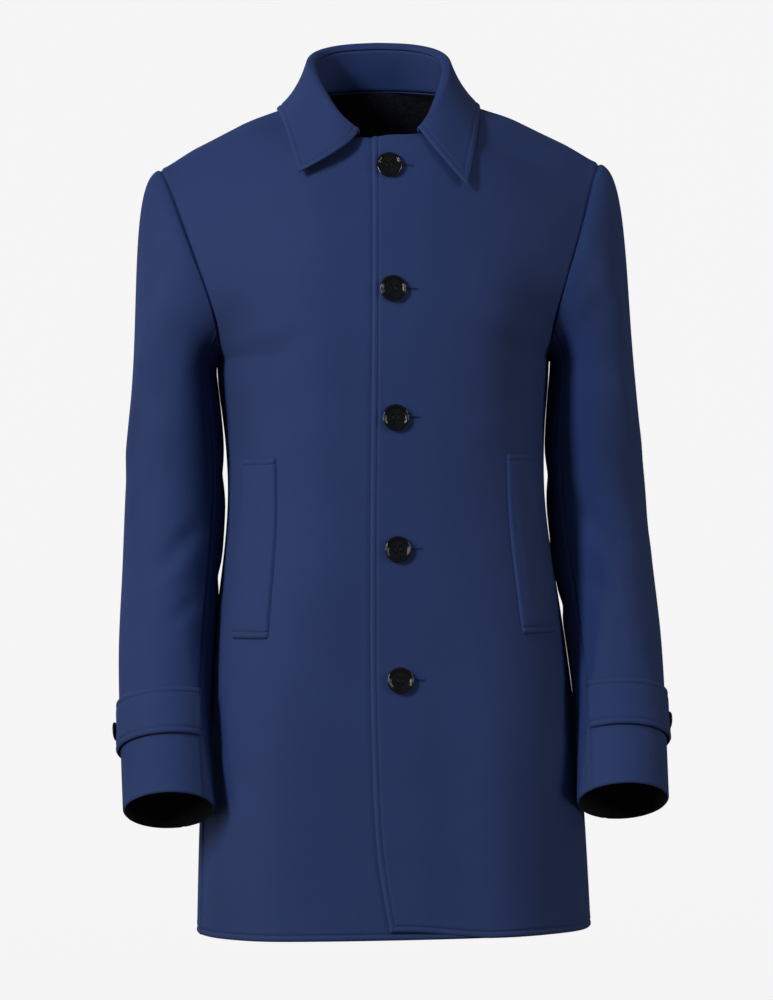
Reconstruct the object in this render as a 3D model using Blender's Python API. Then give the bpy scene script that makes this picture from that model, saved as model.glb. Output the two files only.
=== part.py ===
"""Waterproof single-breasted coat in its worn form: hollow, open at the neck, hem and cuffs.

Metres, +Z up, the front faces -Y and the coat's own left side is +X.  The origin is the middle of the
neck at the height of the shoulder seams' inner ends, where the shoulders carry the coat.
"""

import math
from collections import namedtuple

import bmesh
import bpy
import numpy as np
from mathutils import Vector

# Cloth and gaps
CLOTH = 0.002
COLLAR_CLOTH = 0.003
WELT_CLOTH = 0.0024
SEAM_GAP = 0.0003
LAP_GAP = 0.0008
APPLIED_GAP = 0.0005

# Fineness of the facets
LOWER_STEP = 0.062
YOKE_STEP = 0.036
FRONT_COLUMNS = 11
BACK_COLUMNS = 8
CAP_ROWS = 5
SLEEVE_ROWS = 11
ARC_SAMPLES = 25
SEARCH = 13
NECK_SAMPLES = 400
NUDGE = 0.0005
SHARP_ANGLE = 50

# Body from hem to ribs: level rings, seen from above
# side_x and side_y place the side seam, front_y and back_y the middle of the front and back
Ring = namedtuple("Ring", "z side_x side_y front_y back_y")
BODY_RINGS = (
    Ring(-0.857, 0.200, -0.030, -0.152, 0.154),
    Ring(-0.740, 0.195, -0.031, -0.149, 0.153),
    Ring(-0.620, 0.186, -0.032, -0.145, 0.149),
    Ring(-0.510, 0.1724, -0.029, -0.141, 0.135),
    Ring(-0.410, 0.1616, -0.022, -0.138, 0.125),
    Ring(-0.330, 0.1651, -0.011, -0.138, 0.130),
)
SIDE_TURN = 80
RING_PULL_IN = 0.55
RING_PULL_OUT = 0.41

# Body from underarm to shoulder: each row runs from the front or neck edge (in) to the armhole (out)
# turns are plan headings of the row's ends in degrees, pulls the reach of its curve as shares of its chord
Yoke = namedtuple("Yoke", "in_x in_y in_z out_x out_y out_z in_turn out_turn in_pull out_pull")
FRONT_YOKE = (
    Yoke(0.000, -0.138, -0.262, 0.1720, 0.000, -0.268, 0, 83, 0.535, 0.390),
    Yoke(0.000, -0.137, -0.236, 0.1705, -0.030, -0.260, 0, 77, 0.520, 0.366),
    Yoke(0.000, -0.135, -0.206, 0.1725, -0.054, -0.240, 0, 62, 0.49, 0.32),
    Yoke(0.000, -0.129, -0.162, 0.1805, -0.067, -0.208, 0, 47, 0.43, 0.29),
    Yoke(0.000, -0.115, -0.104, 0.1940, -0.060, -0.166, 0, 38, 0.38, 0.29),
    Yoke(0.000, -0.091, -0.043, 0.2075, -0.041, -0.124, 0, 33, 0.35, 0.31),
    Yoke(0.040, -0.075, -0.039, 0.2170, -0.020, -0.094, 6, 24, 0.34, 0.33),
    Yoke(0.066, -0.037, -0.021, 0.2240, -0.003, -0.076, 4, 12, 0.33, 0.33),
    Yoke(0.078, 0.008, 0.000, 0.2270, 0.013, -0.069, 0, 0, 0.33, 0.33),
)
BACK_YOKE = (
    Yoke(0.065, 0.045, 0.009, 0.2260, 0.032, -0.076, -3, -10, 0.33, 0.33),
    Yoke(0.035, 0.062, 0.013, 0.2230, 0.050, -0.092, -3, -18, 0.34, 0.33),
    Yoke(0.000, 0.065, 0.014, 0.2170, 0.068, -0.120, 0, -28, 0.36, 0.32),
    Yoke(0.000, 0.094, -0.050, 0.2050, 0.083, -0.160, 0, -38, 0.38, 0.31),
    Yoke(0.000, 0.120, -0.118, 0.1910, 0.083, -0.206, 0, -50, 0.42, 0.33),
    Yoke(0.000, 0.132, -0.180, 0.1795, 0.062, -0.242, 0, -66, 0.46, 0.35),
    Yoke(0.000, 0.135, -0.228, 0.1745, 0.032, -0.261, 0, -83, 0.51, 0.38),
    Yoke(0.000, 0.135, -0.262, 0.1720, 0.000, -0.268, 0, -97, 0.525, 0.380),
)
NECK_HALF_WIDTH = 0.078
NECK_FRONT_ROW = len(BODY_RINGS) + 5
SHOULDER_ROW = len(BODY_RINGS) + len(FRONT_YOKE) - 1
NECK_BACK_ROW = SHOULDER_ROW + 3
UNDERARM_FRONT_ROW = len(BODY_RINGS)
UNDERARM_BACK_ROW = SHOULDER_ROW + len(BACK_YOKE)

# How far each front runs past the middle: the left front laps over, the right front lies under it
Edge = namedtuple("Edge", "z over under")
FRONT_EDGES = (
    Edge(-0.857, 0.0117, 0.090),
    Edge(-0.815, 0.0180, 0.083),
    Edge(-0.772, 0.0227, 0.075),
    Edge(-0.700, 0.0259, 0.062),
    Edge(-0.500, 0.0250, 0.036),
    Edge(-0.330, 0.0207, 0.028),
    Edge(-0.043, 0.0130, 0.024),
)
LAP_END = 0.030
LAP_FADE = 0.050
HEM_RAISE = 0.008
HEM_RAISE_REACH = 0.095
HEM_RAISE_FADE = 0.10

# Sleeve rings from the upper arm to the cuff: centre, half sizes and forward tilt in degrees
Tube = namedtuple("Tube", "x y z half_x half_y tilt")
SLEEVE_RINGS = (
    Tube(0.2165, 0.012, -0.285, 0.0440, 0.072, 0),
    Tube(0.2162, 0.014, -0.340, 0.0488, 0.069, 1),
    Tube(0.2184, 0.012, -0.415, 0.0521, 0.063, 4),
    Tube(0.2234, -0.002, -0.485, 0.0511, 0.058, 9),
    Tube(0.2295, -0.025, -0.555, 0.0495, 0.054, 14),
    Tube(0.2328, -0.053, -0.635, 0.0468, 0.0505, 19),
    Tube(0.2310, -0.088, -0.725, 0.0470, 0.049, 26),
)
CUFF_SWING = {"left": 0.0005, "right": 0.0000}
CAP_GAP = 0.00042
CAP_LEAVE = 0.14
CAP_ARRIVE = 0.45
FOREARM_SEAM = 133
HINDARM_SEAM = -108

# Collar: height of the stand and radius of its fold, from the front end (0) to the centre back (1)
Stand = namedtuple("Stand", "along height roll")
COLLAR_STAND = (
    Stand(0.00, 0.003, 0.0024),
    Stand(0.14, 0.015, 0.0040),
    Stand(0.34, 0.028, 0.0044),
    Stand(0.56, 0.038, 0.0042),
    Stand(1.00, 0.044, 0.0042),
)
STAND_LEAN = 19
STAND_ROWS = 3
COLLAR_FRONT_X = {"left": 0.0345, "right": 0.0255}
COLLAR_COLUMNS = 14
FOLD_TURN = 152
FOLD_STEPS = 5
FOLD_GAP = 0.0008
FOOT_GAP = 0.0016
LEAF_STEPS = 3
LEAF_LIFT = 0.0080
LEAF_BULGE = 0.30

# Where the collar's outer edge lies over the shoulder and the back, seen from above
Fall = namedtuple("Fall", "along x y")
COLLAR_FALL = (
    Fall(0.44, 0.1035, 0.008),
    Fall(0.62, 0.0970, 0.058),
    Fall(0.80, 0.0550, 0.079),
    Fall(1.00, 0.0000, 0.079),
)
LEAF_POINTS = {"left": (0.080, -0.099), "right": (0.086, -0.084)}

# Pocket welts: ends of the sewn edge nearest the middle, and width round the side
WELT_TOP = (0.117, -0.370)
WELT_BOTTOM = (0.1285, -0.552)
WELT_WIDTH = 0.052
WELT_COLUMNS = 5
WELT_ROWS = 6

# Cuff tabs: heights above the cuff edge, rise towards the seam, and where the free end and the button
# lie round the sleeve
TAB_LOW = 0.0635
TAB_HIGH = 0.1160
TAB_TILT = 0.004
TAB_END = -40
TAB_ROUND_OFF = 0.011
TAB_SEAM_TURN = 1.5
TAB_ROWS = 3
TAB_BUTTON_TURN = -14

# Buttons: front ones down the middle, and one on each cuff tab
BUTTON_X = 0.0034
BUTTON_HEIGHTS = (-0.075, -0.201, -0.331, -0.464, -0.596)
BUTTON_RADIUS = 0.0134
CUFF_BUTTON_RADIUS = 0.0095
BUTTON_SIDES = 24

# Button section as shares of its radius: distance out and height
Turn = namedtuple("Turn", "out up")
BUTTON_SECTION = (
    Turn(0.62, 0.00),
    Turn(0.94, 0.10),
    Turn(1.00, 0.22),
    Turn(0.93, 0.33),
    Turn(0.80, 0.34),
    Turn(0.66, 0.22),
)
BUTTON_DISH = 0.18

# Finishes: colour, roughness
CLOTH_BLUE = (0.026, 0.040, 0.122)
CLOTH_ROUGHNESS = 0.82
BUTTON_BLACK = (0.010, 0.011, 0.015)
BUTTON_ROUGHNESS = 0.28


def unit(vectors):
    return vectors / np.linalg.norm(vectors, axis=-1, keepdims=True)


def ease(x):
    x = np.clip(x, 0.0, 1.0)
    return x * x * (3.0 - 2.0 * x)


def smooth(knots, values, at):
    """Cubic through a table's rows that bends evenly from row to row."""
    step = np.diff(knots)
    rise = np.diff(values, axis=0) / step[:, None]
    system = np.eye(len(knots))
    turn = np.zeros_like(values)
    for row in range(1, len(knots) - 1):
        system[row, row - 1:row + 2] = step[row - 1], 2.0 * (step[row - 1] + step[row]), step[row]
        turn[row] = 6.0 * (rise[row] - rise[row - 1])
    bend = np.linalg.solve(system, turn)
    row = np.clip(np.searchsorted(knots, at, side="right") - 1, 0, len(knots) - 2)
    span = step[row][:, None]
    late = (at[:, None] - knots[row][:, None]) / span
    early = 1.0 - late
    bulge = (early ** 3 - early) * bend[row] + (late ** 3 - late) * bend[row + 1]
    return early * values[row] + late * values[row + 1] + bulge * span ** 2 / 6.0


def smooth_with_corners(knots, values, at, corners):
    """The same cubic, free to turn a corner at the given rows."""
    result = np.empty((len(at), values.shape[1]))
    limits = [0, *corners, len(knots) - 1]
    for first, last in zip(limits[:-1], limits[1:]):
        above = at >= knots[first] if first else np.full(len(at), True)
        below = at < knots[last] if last < len(knots) - 1 else np.full(len(at), True)
        inside = above & below
        result[inside] = smooth(knots[first:last + 1], values[first:last + 1], at[inside])
    return result


def bezier(controls, t):
    """Points of cubic curves, one row of four controls for each parameter."""
    t = t[..., None]
    weights = ((1 - t) ** 3, 3 * t * (1 - t) ** 2, 3 * t * t * (1 - t), t ** 3)
    return sum(weight * controls[..., k, :] for k, weight in enumerate(weights))


def heading(turn):
    return np.array((math.cos(math.radians(turn)), math.sin(math.radians(turn)), 0.0))


def body_row(start, end, in_turn, out_turn, in_pull, out_pull):
    """One row of the body as its inner end, both handles and its outer end.

    A row that starts on the centre line leaves it level, so that both halves meet smoothly, and one
    that starts at the side of the neck falls away straight.
    """
    start = np.array(start)
    end = np.array(end)
    chord = np.linalg.norm(end - start)
    fall = np.array((0.0, 0.0, (end[2] - start[2]) / 3.0))
    reach_in = in_pull * chord * heading(in_turn) + fall * start[0] / NECK_HALF_WIDTH
    reach_out = -out_pull * chord * heading(out_turn) - fall
    return start, start + reach_in, end + reach_out, end


def ring_row(ring, middle_y, out_turn):
    start = (0.0, middle_y, ring.z)
    end = (ring.side_x, ring.side_y, ring.z)
    return body_row(start, end, 0.0, out_turn, RING_PULL_IN, RING_PULL_OUT)


def yoke_row(row):
    start = (row.in_x, row.in_y, row.in_z)
    end = (row.out_x, row.out_y, row.out_z)
    return body_row(start, end, row.in_turn, row.out_turn, row.in_pull, row.out_pull)


def body_rows():
    """All rows of half a body, from the front hem over the shoulder to the back hem, and their spacing."""
    rows = [ring_row(ring, ring.front_y, SIDE_TURN) for ring in BODY_RINGS]
    rows += [yoke_row(row) for row in FRONT_YOKE + BACK_YOKE]
    rows += [ring_row(ring, ring.back_y, SIDE_TURN - 180) for ring in reversed(BODY_RINGS)]
    controls = np.array(rows)
    middles = bezier(controls, np.full(len(rows), 0.5))
    return running_length(middles), controls


def running_length(points):
    """Length along a line of points, from zero at its first."""
    steps = np.linalg.norm(np.diff(points, axis=0), axis=1)
    return np.concatenate(([0.0], np.cumsum(steps)))


KNOTS, CONTROLS = body_rows()
SHOULDER = KNOTS[SHOULDER_ROW]


def body_controls(v):
    """Inner end, two handles and outer end of the rows at the given heights."""
    return np.stack((
        smooth_with_corners(KNOTS, CONTROLS[:, 0], v, (NECK_FRONT_ROW, NECK_BACK_ROW)),
        smooth(KNOTS, CONTROLS[:, 1], v),
        smooth(KNOTS, CONTROLS[:, 2], v),
        smooth_with_corners(KNOTS, CONTROLS[:, 3], v, (UNDERARM_FRONT_ROW, UNDERARM_BACK_ROW)),
    ), axis=1)


def body_point(v, s):
    """Points of the coat's outer face: v runs up the front and down the back, s along each row.

    s is a share of the row's length; below zero it runs past the middle onto the mirrored side.
    """
    v, s = np.broadcast_arrays(np.asarray(v, float), np.asarray(s, float))
    controls = body_controls(v.ravel())
    stops = np.linspace(0.0, 1.0, ARC_SAMPLES)
    trail = bezier(controls[:, None], np.broadcast_to(stops, (len(controls), ARC_SAMPLES)))
    length = np.cumsum(np.linalg.norm(np.diff(trail, axis=1), axis=2), axis=1)
    length = np.hstack((np.zeros((len(length), 1)), length))
    wanted = np.abs(s.ravel()) * length[:, -1]
    stop = np.clip((length <= wanted[:, None]).sum(axis=1) - 1, 0, ARC_SAMPLES - 2)
    each = np.arange(len(stop))
    share = (wanted - length[each, stop]) / (length[each, stop + 1] - length[each, stop])
    points = bezier(controls, (stop + share) / (ARC_SAMPLES - 1))
    points[:, 0] *= np.where(s.ravel() < 0.0, -1.0, 1.0)
    return points.reshape(v.shape + (3,))


def body_normal(v, s):
    """Outward directions of the coat's face."""
    v, s = np.broadcast_arrays(np.asarray(v, float), np.asarray(s, float))
    up = np.clip(v + NUDGE, 0.0, KNOTS[-1])
    down = np.clip(v - NUDGE, 0.0, KNOTS[-1])
    before = np.where(s < 0.0, s - NUDGE, np.maximum(s - NUDGE, 0.0))
    along = body_point(v, np.minimum(s + NUDGE, 1.0)) - body_point(v, before)
    return unit(np.cross(along, body_point(up, s) - body_point(down, s)))


def row_length(v):
    shares = np.linspace(0.0, 1.0, ARC_SAMPLES)
    trail = body_point(np.asarray(v, float)[:, None], shares[None, :])
    return np.linalg.norm(np.diff(trail, axis=1), axis=2).sum(axis=1)


def place_at(target, axes, low, high):
    """The place on the body, as v and s, whose two given coordinates come nearest the target."""
    middle = np.array(((low + high) / 2, 0.5))
    reach = np.array(((high - low) / 2, 0.5))
    while reach[0] > NUDGE / 10:
        v = np.clip(middle[0] + reach[0] * np.linspace(-1, 1, SEARCH), low, high)
        s = np.clip(middle[1] + reach[1] * np.linspace(-1, 1, SEARCH), 0.0, 1.0)
        found = body_point(v[:, None], s[None, :])[..., list(axes)]
        best = np.argmin(((found - np.array(target)) ** 2).sum(axis=-1))
        middle = np.array((v[best // SEARCH], s[best % SEARCH]))
        reach = reach / 3
    return middle


def front_at(x, z):
    return place_at((x, z), (0, 2), 0.0, SHOULDER)


def spaced(first_row, last_row):
    """Heights between two table rows, split finely enough, that keep every table row."""
    heights = [KNOTS[first_row]]
    for row in range(first_row, last_row):
        low = KNOTS[row]
        high = KNOTS[row + 1]
        yoke = UNDERARM_FRONT_ROW <= row < UNDERARM_BACK_ROW
        count = math.ceil((high - low) / (YOKE_STEP if yoke else LOWER_STEP))
        heights += [low + (high - low) * (k + 1) / count for k in range(count)]
    return np.array(heights)


def trim_edge(grid, side, gap):
    """Draw one side of a grid of points back from its seam."""
    edge, inside = {
        "first_row": (grid[0], grid[1]),
        "last_row": (grid[-1], grid[-2]),
        "first_column": (grid[:, 0], grid[:, 1]),
        "last_column": (grid[:, -1], grid[:, -2]),
    }[side]
    edge += gap * unit(inside - edge)


def mirrored(points):
    return points * np.array((-1.0, 1.0, 1.0))


def make_material(name, colour, roughness):
    material = bpy.data.materials.new(name)
    material.use_nodes = True
    shader = material.node_tree.nodes["Principled BSDF"]
    shader.inputs["Base Color"].default_value = (*colour, 1.0)
    shader.inputs["Roughness"].default_value = roughness
    shader.inputs["Metallic"].default_value = 0.0
    return material


def finish_object(name, shape, material):
    """Turn a closed shape into a named object with its material."""
    bmesh.ops.recalc_face_normals(shape, faces=shape.faces)
    mesh = bpy.data.meshes.new(name)
    shape.to_mesh(mesh)
    shape.free()
    mesh.shade_smooth()
    mesh.set_sharp_from_angle(angle=math.radians(SHARP_ANGLE))
    mesh.materials.append(material)
    piece = bpy.data.objects.new(name, mesh)
    bpy.context.scene.collection.objects.link(piece)
    return piece


def add_object(name, verts, faces, material):
    shape = bmesh.new()
    points = [shape.verts.new(tuple(point)) for point in verts]
    for face in faces:
        shape.faces.new([points[k] for k in face])
    return finish_object(name, shape, material)


def add_wall(name, outer, inner, material):
    """A closed thin wall between two grids of points."""
    rows, columns = outer.shape[:2]
    size = rows * columns
    faces = []
    for i in range(rows - 1):
        for j in range(columns - 1):
            corner = i * columns + j
            quad = (corner, corner + 1, corner + columns + 1, corner + columns)
            faces.append(quad)
            faces.append(tuple(size + k for k in reversed(quad)))
    rim = list(range(columns))
    rim += [i * columns + columns - 1 for i in range(1, rows)]
    rim += [size - 1 - j for j in range(1, columns)]
    rim += [i * columns for i in range(rows - 2, 0, -1)]
    for here, there in zip(rim, rim[1:] + rim[:1]):
        faces.append((there, here, size + here, size + there))
    verts = np.vstack((outer.reshape(-1, 3), inner.reshape(-1, 3)))
    return add_object(name, verts, faces, material)


def front_surface(v, s, over):
    """Outer face of a front: the right one dips where the left one laps over it."""
    normal = body_normal(v, s)
    if over:
        return body_point(v, s), normal
    distance = s * row_length(v[:, 0])[:, None] + body_point(v, np.zeros_like(s))[..., 0]
    dip = (CLOTH + LAP_GAP) * (1.0 - ease((distance - LAP_END) / LAP_FADE))
    return body_point(v, s) - normal * dip[..., None], normal


def make_front(side, cloth):
    over = side == "left"
    heights = spaced(0, SHOULDER_ROW)
    edges = np.array(FRONT_EDGES)
    edge_z = body_controls(heights)[:, 0, 2]
    past = smooth(edges[:, 0], edges[:, 1:], np.clip(edge_z, edges[0, 0], edges[-1, 0]))
    past = np.where(heights <= KNOTS[NECK_FRONT_ROW] + NUDGE, past[:, 0 if over else 1], 0.0)
    start = -past / row_length(heights)
    s = start[:, None] + (1.0 - start)[:, None] * np.linspace(0.0, 1.0, FRONT_COLUMNS)
    v = np.repeat(heights[:, None], FRONT_COLUMNS, axis=1)
    if over:
        distance = s * row_length(heights)[:, None]
        raise_here = HEM_RAISE * (1.0 - ease((distance - start[0]) / HEM_RAISE_REACH))
        v = v + raise_here * (1.0 - ease(v / HEM_RAISE_FADE))
    outer, normal = front_surface(v, s, over)
    trim_edge(outer, "last_column", SEAM_GAP / 2)
    trim_edge(outer, "last_row", SEAM_GAP / 2)
    inner = outer - CLOTH * normal
    if not over:
        outer = mirrored(outer)
        inner = mirrored(inner)
    add_wall("front_" + side, outer, inner, cloth)


def make_back(cloth):
    """One panel: two mirrored halves joined down the middle below the neck seam."""
    heights = spaced(SHOULDER_ROW, len(KNOTS) - 1)
    half = np.linspace(0.0, 1.0, BACK_COLUMNS + 1)
    outer = body_point(heights[:, None], half[None, :])
    normal = body_normal(heights[:, None], half[None, :])
    trim_edge(outer, "last_column", SEAM_GAP / 2)
    trim_edge(outer, "first_row", SEAM_GAP / 2)
    inner = outer - CLOTH * normal
    neck = heights < KNOTS[NECK_BACK_ROW] - NUDGE
    columns = len(half)
    shape = bmesh.new()
    grids = []
    for sheet in (outer, inner):
        right = mirrored(sheet)
        left_points = [[shape.verts.new(tuple(p)) for p in row] for row in sheet]
        right_points = []
        for i, row in enumerate(right):
            made = [shape.verts.new(tuple(p)) for p in row[1:]]
            centre = shape.verts.new(tuple(row[0])) if neck[i] else left_points[i][0]
            right_points.append([centre, *made])
        grids.append((left_points, right_points))
    for half_number in range(2):
        skin = grids[0][half_number]
        under = grids[1][half_number]
        for i in range(len(heights) - 1):
            for j in range(columns - 1):
                shape.faces.new((skin[i][j], skin[i][j + 1], skin[i + 1][j + 1], skin[i + 1][j]))
                shape.faces.new((under[i][j], under[i + 1][j], under[i + 1][j + 1], under[i][j + 1]))
        rim = [(0, j) for j in range(columns)]
        rim += [(i, columns - 1) for i in range(1, len(heights))]
        rim += [(len(heights) - 1, j) for j in range(columns - 2, -1, -1)]
        for (i, j), (k, m) in zip(rim[:-1], rim[1:]):
            shape.faces.new((skin[i][j], skin[k][m], under[k][m], under[i][j]))
        for i in range(int(neck.sum())):
            shape.faces.new((skin[i][0], skin[i + 1][0], under[i + 1][0], under[i][0]))
    finish_object("back", shape, cloth)


def armhole():
    """Armhole points from the underarm up the front, over the shoulder and down the back, with angles.

    Angles go round the sleeve: 0 outermost, 90 in front, 180 at the underarm, -90 behind.
    """
    heights = spaced(UNDERARM_FRONT_ROW, UNDERARM_BACK_ROW)
    points = body_point(heights, np.ones(len(heights)))
    normals = body_normal(heights, np.ones(len(heights)))
    length = running_length(points)
    top = np.interp(SHOULDER, heights, length)
    front = 180.0 * (1.0 - length / top)
    behind = -180.0 * (length - top) / (length[-1] - top)
    return points, normals, np.where(length < top, front, behind)


def sleeve_table(swing):
    rings = np.array(SLEEVE_RINGS)
    along = running_length(rings[:, :3])
    rings[:, 0] += swing * ease(along / along[-1])
    return along, rings


def tube_points(along, turns, swing):
    """Points of the sleeve below the cap: along the arm from its first ring, round by angle."""
    knots, rings = sleeve_table(swing)
    ring = smooth(knots, rings, np.asarray(along, float))
    round_x = np.cos(np.radians(turns))
    round_y = -np.sin(np.radians(turns))
    tilt = np.radians(ring[:, 5])[:, None]
    x = ring[:, 0:1] + ring[:, 3:4] * round_x
    deep = ring[:, 4:5] * round_y
    y = ring[:, 1:2] + deep * np.cos(tilt)
    z = ring[:, 2:3] - deep * np.sin(tilt)
    return np.stack(np.broadcast_arrays(x, y, z), axis=-1)


def sleeve_surface(swing):
    """Rows of the whole sleeve from armhole to cuff, with the angle of every column."""
    starts, normals, turns = armhole()
    knots, _ = sleeve_table(swing)
    ring = tube_points([0.0], turns, swing)[0]
    below = tube_points([NUDGE], turns, swing)[0]
    radial = np.stack((np.cos(np.radians(turns)), -np.sin(np.radians(turns)), np.zeros(len(turns))), axis=1)
    outward = ((1.0 + np.cos(np.radians(turns))) / 2.0)[:, None]
    leave = unit(outward * radial + (1.0 - outward) * np.array((0.0, 0.0, -1.0)))
    starts = starts + CAP_GAP * unit(leave + normals)
    reach = np.linalg.norm(ring - starts, axis=1, keepdims=True)
    controls = np.stack((
        starts,
        starts + CAP_LEAVE * reach * leave,
        ring - CAP_ARRIVE * reach * unit(below - ring),
        ring,
    ), axis=1)
    shares = np.linspace(0.0, 1.0, CAP_ROWS + 1)[:-1]
    cap = np.stack([bezier(controls, np.full(len(turns), share)) for share in shares])
    tube = tube_points(np.linspace(0.0, knots[-1], SLEEVE_ROWS + 1), turns, swing)
    return np.vstack((cap, tube)), turns, normals, outward


def grid_normals(grid):
    """Directions square to a grid of points, out of the sleeve."""
    down = np.gradient(grid, axis=0)
    across = np.gradient(grid, axis=1)
    return unit(np.cross(down, across))


def make_sleeve(side, cloth):
    surface, turns, body_normals, outward = sleeve_surface(CUFF_SWING[side])
    wrapped = np.concatenate((surface[:, -2:-1], surface, surface[:, 1:2]), axis=1)
    normals = grid_normals(wrapped)[:, 1:-1]
    normals[0] = unit(outward * body_normals + (1.0 - outward) * normals[0])
    forearm = int(np.argmin(np.abs(turns - FOREARM_SEAM)))
    hindarm = int(np.argmin(np.abs(turns - HINDARM_SEAM)))
    last = len(turns) - 1
    columns = {
        "sleeve_top_": list(range(forearm, hindarm + 1)),
        "sleeve_under_": list(range(hindarm, last)) + list(range(0, forearm + 1)),
    }
    for name, chosen in columns.items():
        outer = surface[:, chosen].copy()
        trim_edge(outer, "first_column", SEAM_GAP)
        trim_edge(outer, "last_column", SEAM_GAP)
        inner = outer - CLOTH * normals[:, chosen]
        if side == "right":
            outer = mirrored(outer)
            inner = mirrored(inner)
        add_wall(name + side, outer, inner, cloth)


def sleeve_place(height, turn, swing):
    """A point on the sleeve and the direction out of it, by height above the cuff edge and angle."""
    knots, _ = sleeve_table(swing)
    here = tube_points([knots[-1] - height], [turn], swing)[0, 0]
    around = tube_points([knots[-1] - height], [turn + 1.0], swing)[0, 0]
    below = tube_points([knots[-1] - height + NUDGE], [turn], swing)[0, 0]
    return here, unit(np.cross(around - here, below - here))


def make_cuff_tab(side, cloth):
    """A strap let into the forearm seam, lying on the sleeve's own facets, with a rounded free end."""
    _, _, turns = armhole()
    forearm = turns[int(np.argmin(np.abs(turns - FOREARM_SEAM)))]
    columns = [forearm - TAB_SEAM_TURN]
    columns += [turn for turn in turns if TAB_END < turn < columns[0]]
    columns.append(TAB_END)
    rise = TAB_TILT * np.array(columns) / columns[0]
    low = TAB_LOW + rise
    high = TAB_HIGH + rise
    low[-1] += TAB_ROUND_OFF
    high[-1] -= TAB_ROUND_OFF
    shape = (TAB_ROWS + 1, len(columns), 3)
    face = np.empty(shape)
    normal = np.empty(shape)
    for row, share in enumerate(np.linspace(0.0, 1.0, TAB_ROWS + 1)):
        for column, turn in enumerate(columns):
            height = low[column] + (high[column] - low[column]) * share
            face[row, column], normal[row, column] = sleeve_place(height, turn, CUFF_SWING[side])
    add_applied("cuff_tab_" + side, face, normal, side, cloth)


def add_applied(name, face, normal, side, cloth):
    """A double layer of cloth lying on a panel, made from the panel's own points."""
    inner = face + APPLIED_GAP * normal
    outer = face + (APPLIED_GAP + WELT_CLOTH) * normal
    if side == "right":
        outer = mirrored(outer)
        inner = mirrored(inner)
    add_wall(name, outer, inner, cloth)


def make_welt(side, cloth):
    """An upright welt on the front, its sewn edge nearest the middle."""
    top = front_at(*WELT_TOP)
    bottom = front_at(*WELT_BOTTOM)
    v = np.linspace(bottom[0], top[0], WELT_ROWS + 1)[:, None]
    inner_s = np.linspace(bottom[1], top[1], WELT_ROWS + 1)
    across = WELT_WIDTH / row_length(v[:, 0])
    s = inner_s[:, None] + across[:, None] * np.linspace(0.0, 1.0, WELT_COLUMNS + 1)
    v = np.broadcast_to(v, s.shape)
    face, normal = front_surface(v, s, side == "left")
    add_applied("pocket_welt_" + side, face, normal, side, cloth)


def neck_columns(side):
    """Neck seam of half the collar, on the left, from its front end to the centre back, in even steps."""
    fine = np.linspace(KNOTS[NECK_FRONT_ROW], KNOTS[NECK_BACK_ROW], NECK_SAMPLES)
    seam = body_point(fine, np.zeros(NECK_SAMPLES))
    length = running_length(seam)
    start = length[np.argmax(seam[:, 0] >= COLLAR_FRONT_X[side])]
    along = np.linspace(0.0, 1.0, COLLAR_COLUMNS + 1)
    heights = np.interp(start + along * (length[-1] - start), length, fine)
    points = body_point(heights, np.zeros(len(heights)))
    points[-1, 0] = 0.0
    way = np.gradient(points, axis=0)
    way[-1] = (-1.0, 0.0, 0.0)
    flat = unit(way * np.array((1.0, 1.0, 0.0)))
    outward = np.stack((flat[:, 1], -flat[:, 0], np.zeros(len(flat))), axis=1)
    return points, outward, along


def collar_edge(side, along):
    """Outer edge of half the collar, lifted off the body: from the leaf's point round to the back."""
    over_back = (SHOULDER, KNOTS[NECK_BACK_ROW + 1])
    places = [place_at((fall.x, fall.y), (0, 1), *over_back) for fall in COLLAR_FALL]
    leaf = np.array(LEAF_POINTS[side])
    half_way = (leaf + body_point(*places[0])[[0, 2]]) / 2
    places = [front_at(*leaf), front_at(*half_way), *places]
    v, s = np.array(places).T
    anchors = body_point(v, s) + LEAF_LIFT * body_normal(v, s)
    stops = np.array([0.0, COLLAR_FALL[0].along / 2] + [fall.along for fall in COLLAR_FALL])
    anchors = np.vstack((anchors, mirrored(anchors[-2::-1])))
    stops = np.concatenate((stops, 2.0 - stops[-2::-1]))
    return smooth(stops, anchors, along)


def collar_half(side):
    """Stand and fall of half a collar as grids of mid points with the directions out of the cloth."""
    neck, outward, along = neck_columns(side)
    table = np.array(COLLAR_STAND)
    height, roll = np.split(smooth(table[:, 0], table[:, 1:], along), 2, axis=1)
    up = np.array((0.0, 0.0, 1.0))
    lean = math.radians(STAND_LEAN)
    rise = math.cos(lean) * up - math.sin(lean) * outward
    across = math.cos(lean) * outward + math.sin(lean) * up
    foot = neck + FOOT_GAP * up
    stand = np.stack([foot + share * height * rise for share in np.linspace(0.0, 1.0, STAND_ROWS + 1)])
    fold = stand[-1] + FOLD_GAP * rise
    edge = collar_edge(side, along)
    profile = []
    for turn in np.radians(np.linspace(0.0, FOLD_TURN, FOLD_STEPS + 1)):
        profile.append(fold + roll * ((1.0 - math.cos(turn)) * across + math.sin(turn) * rise))
    last_turn = math.radians(FOLD_TURN)
    leaving = math.sin(last_turn) * across + math.cos(last_turn) * rise
    roll_end = profile[-1]
    reach = np.linalg.norm(edge - roll_end, axis=1, keepdims=True)
    bend = roll_end + LEAF_BULGE * reach * leaving
    for share in np.linspace(0.0, 1.0, LEAF_STEPS + 1)[1:]:
        profile.append((1 - share) ** 2 * roll_end + 2 * share * (1 - share) * bend + share ** 2 * edge)
    return stand, np.stack(profile)


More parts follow.
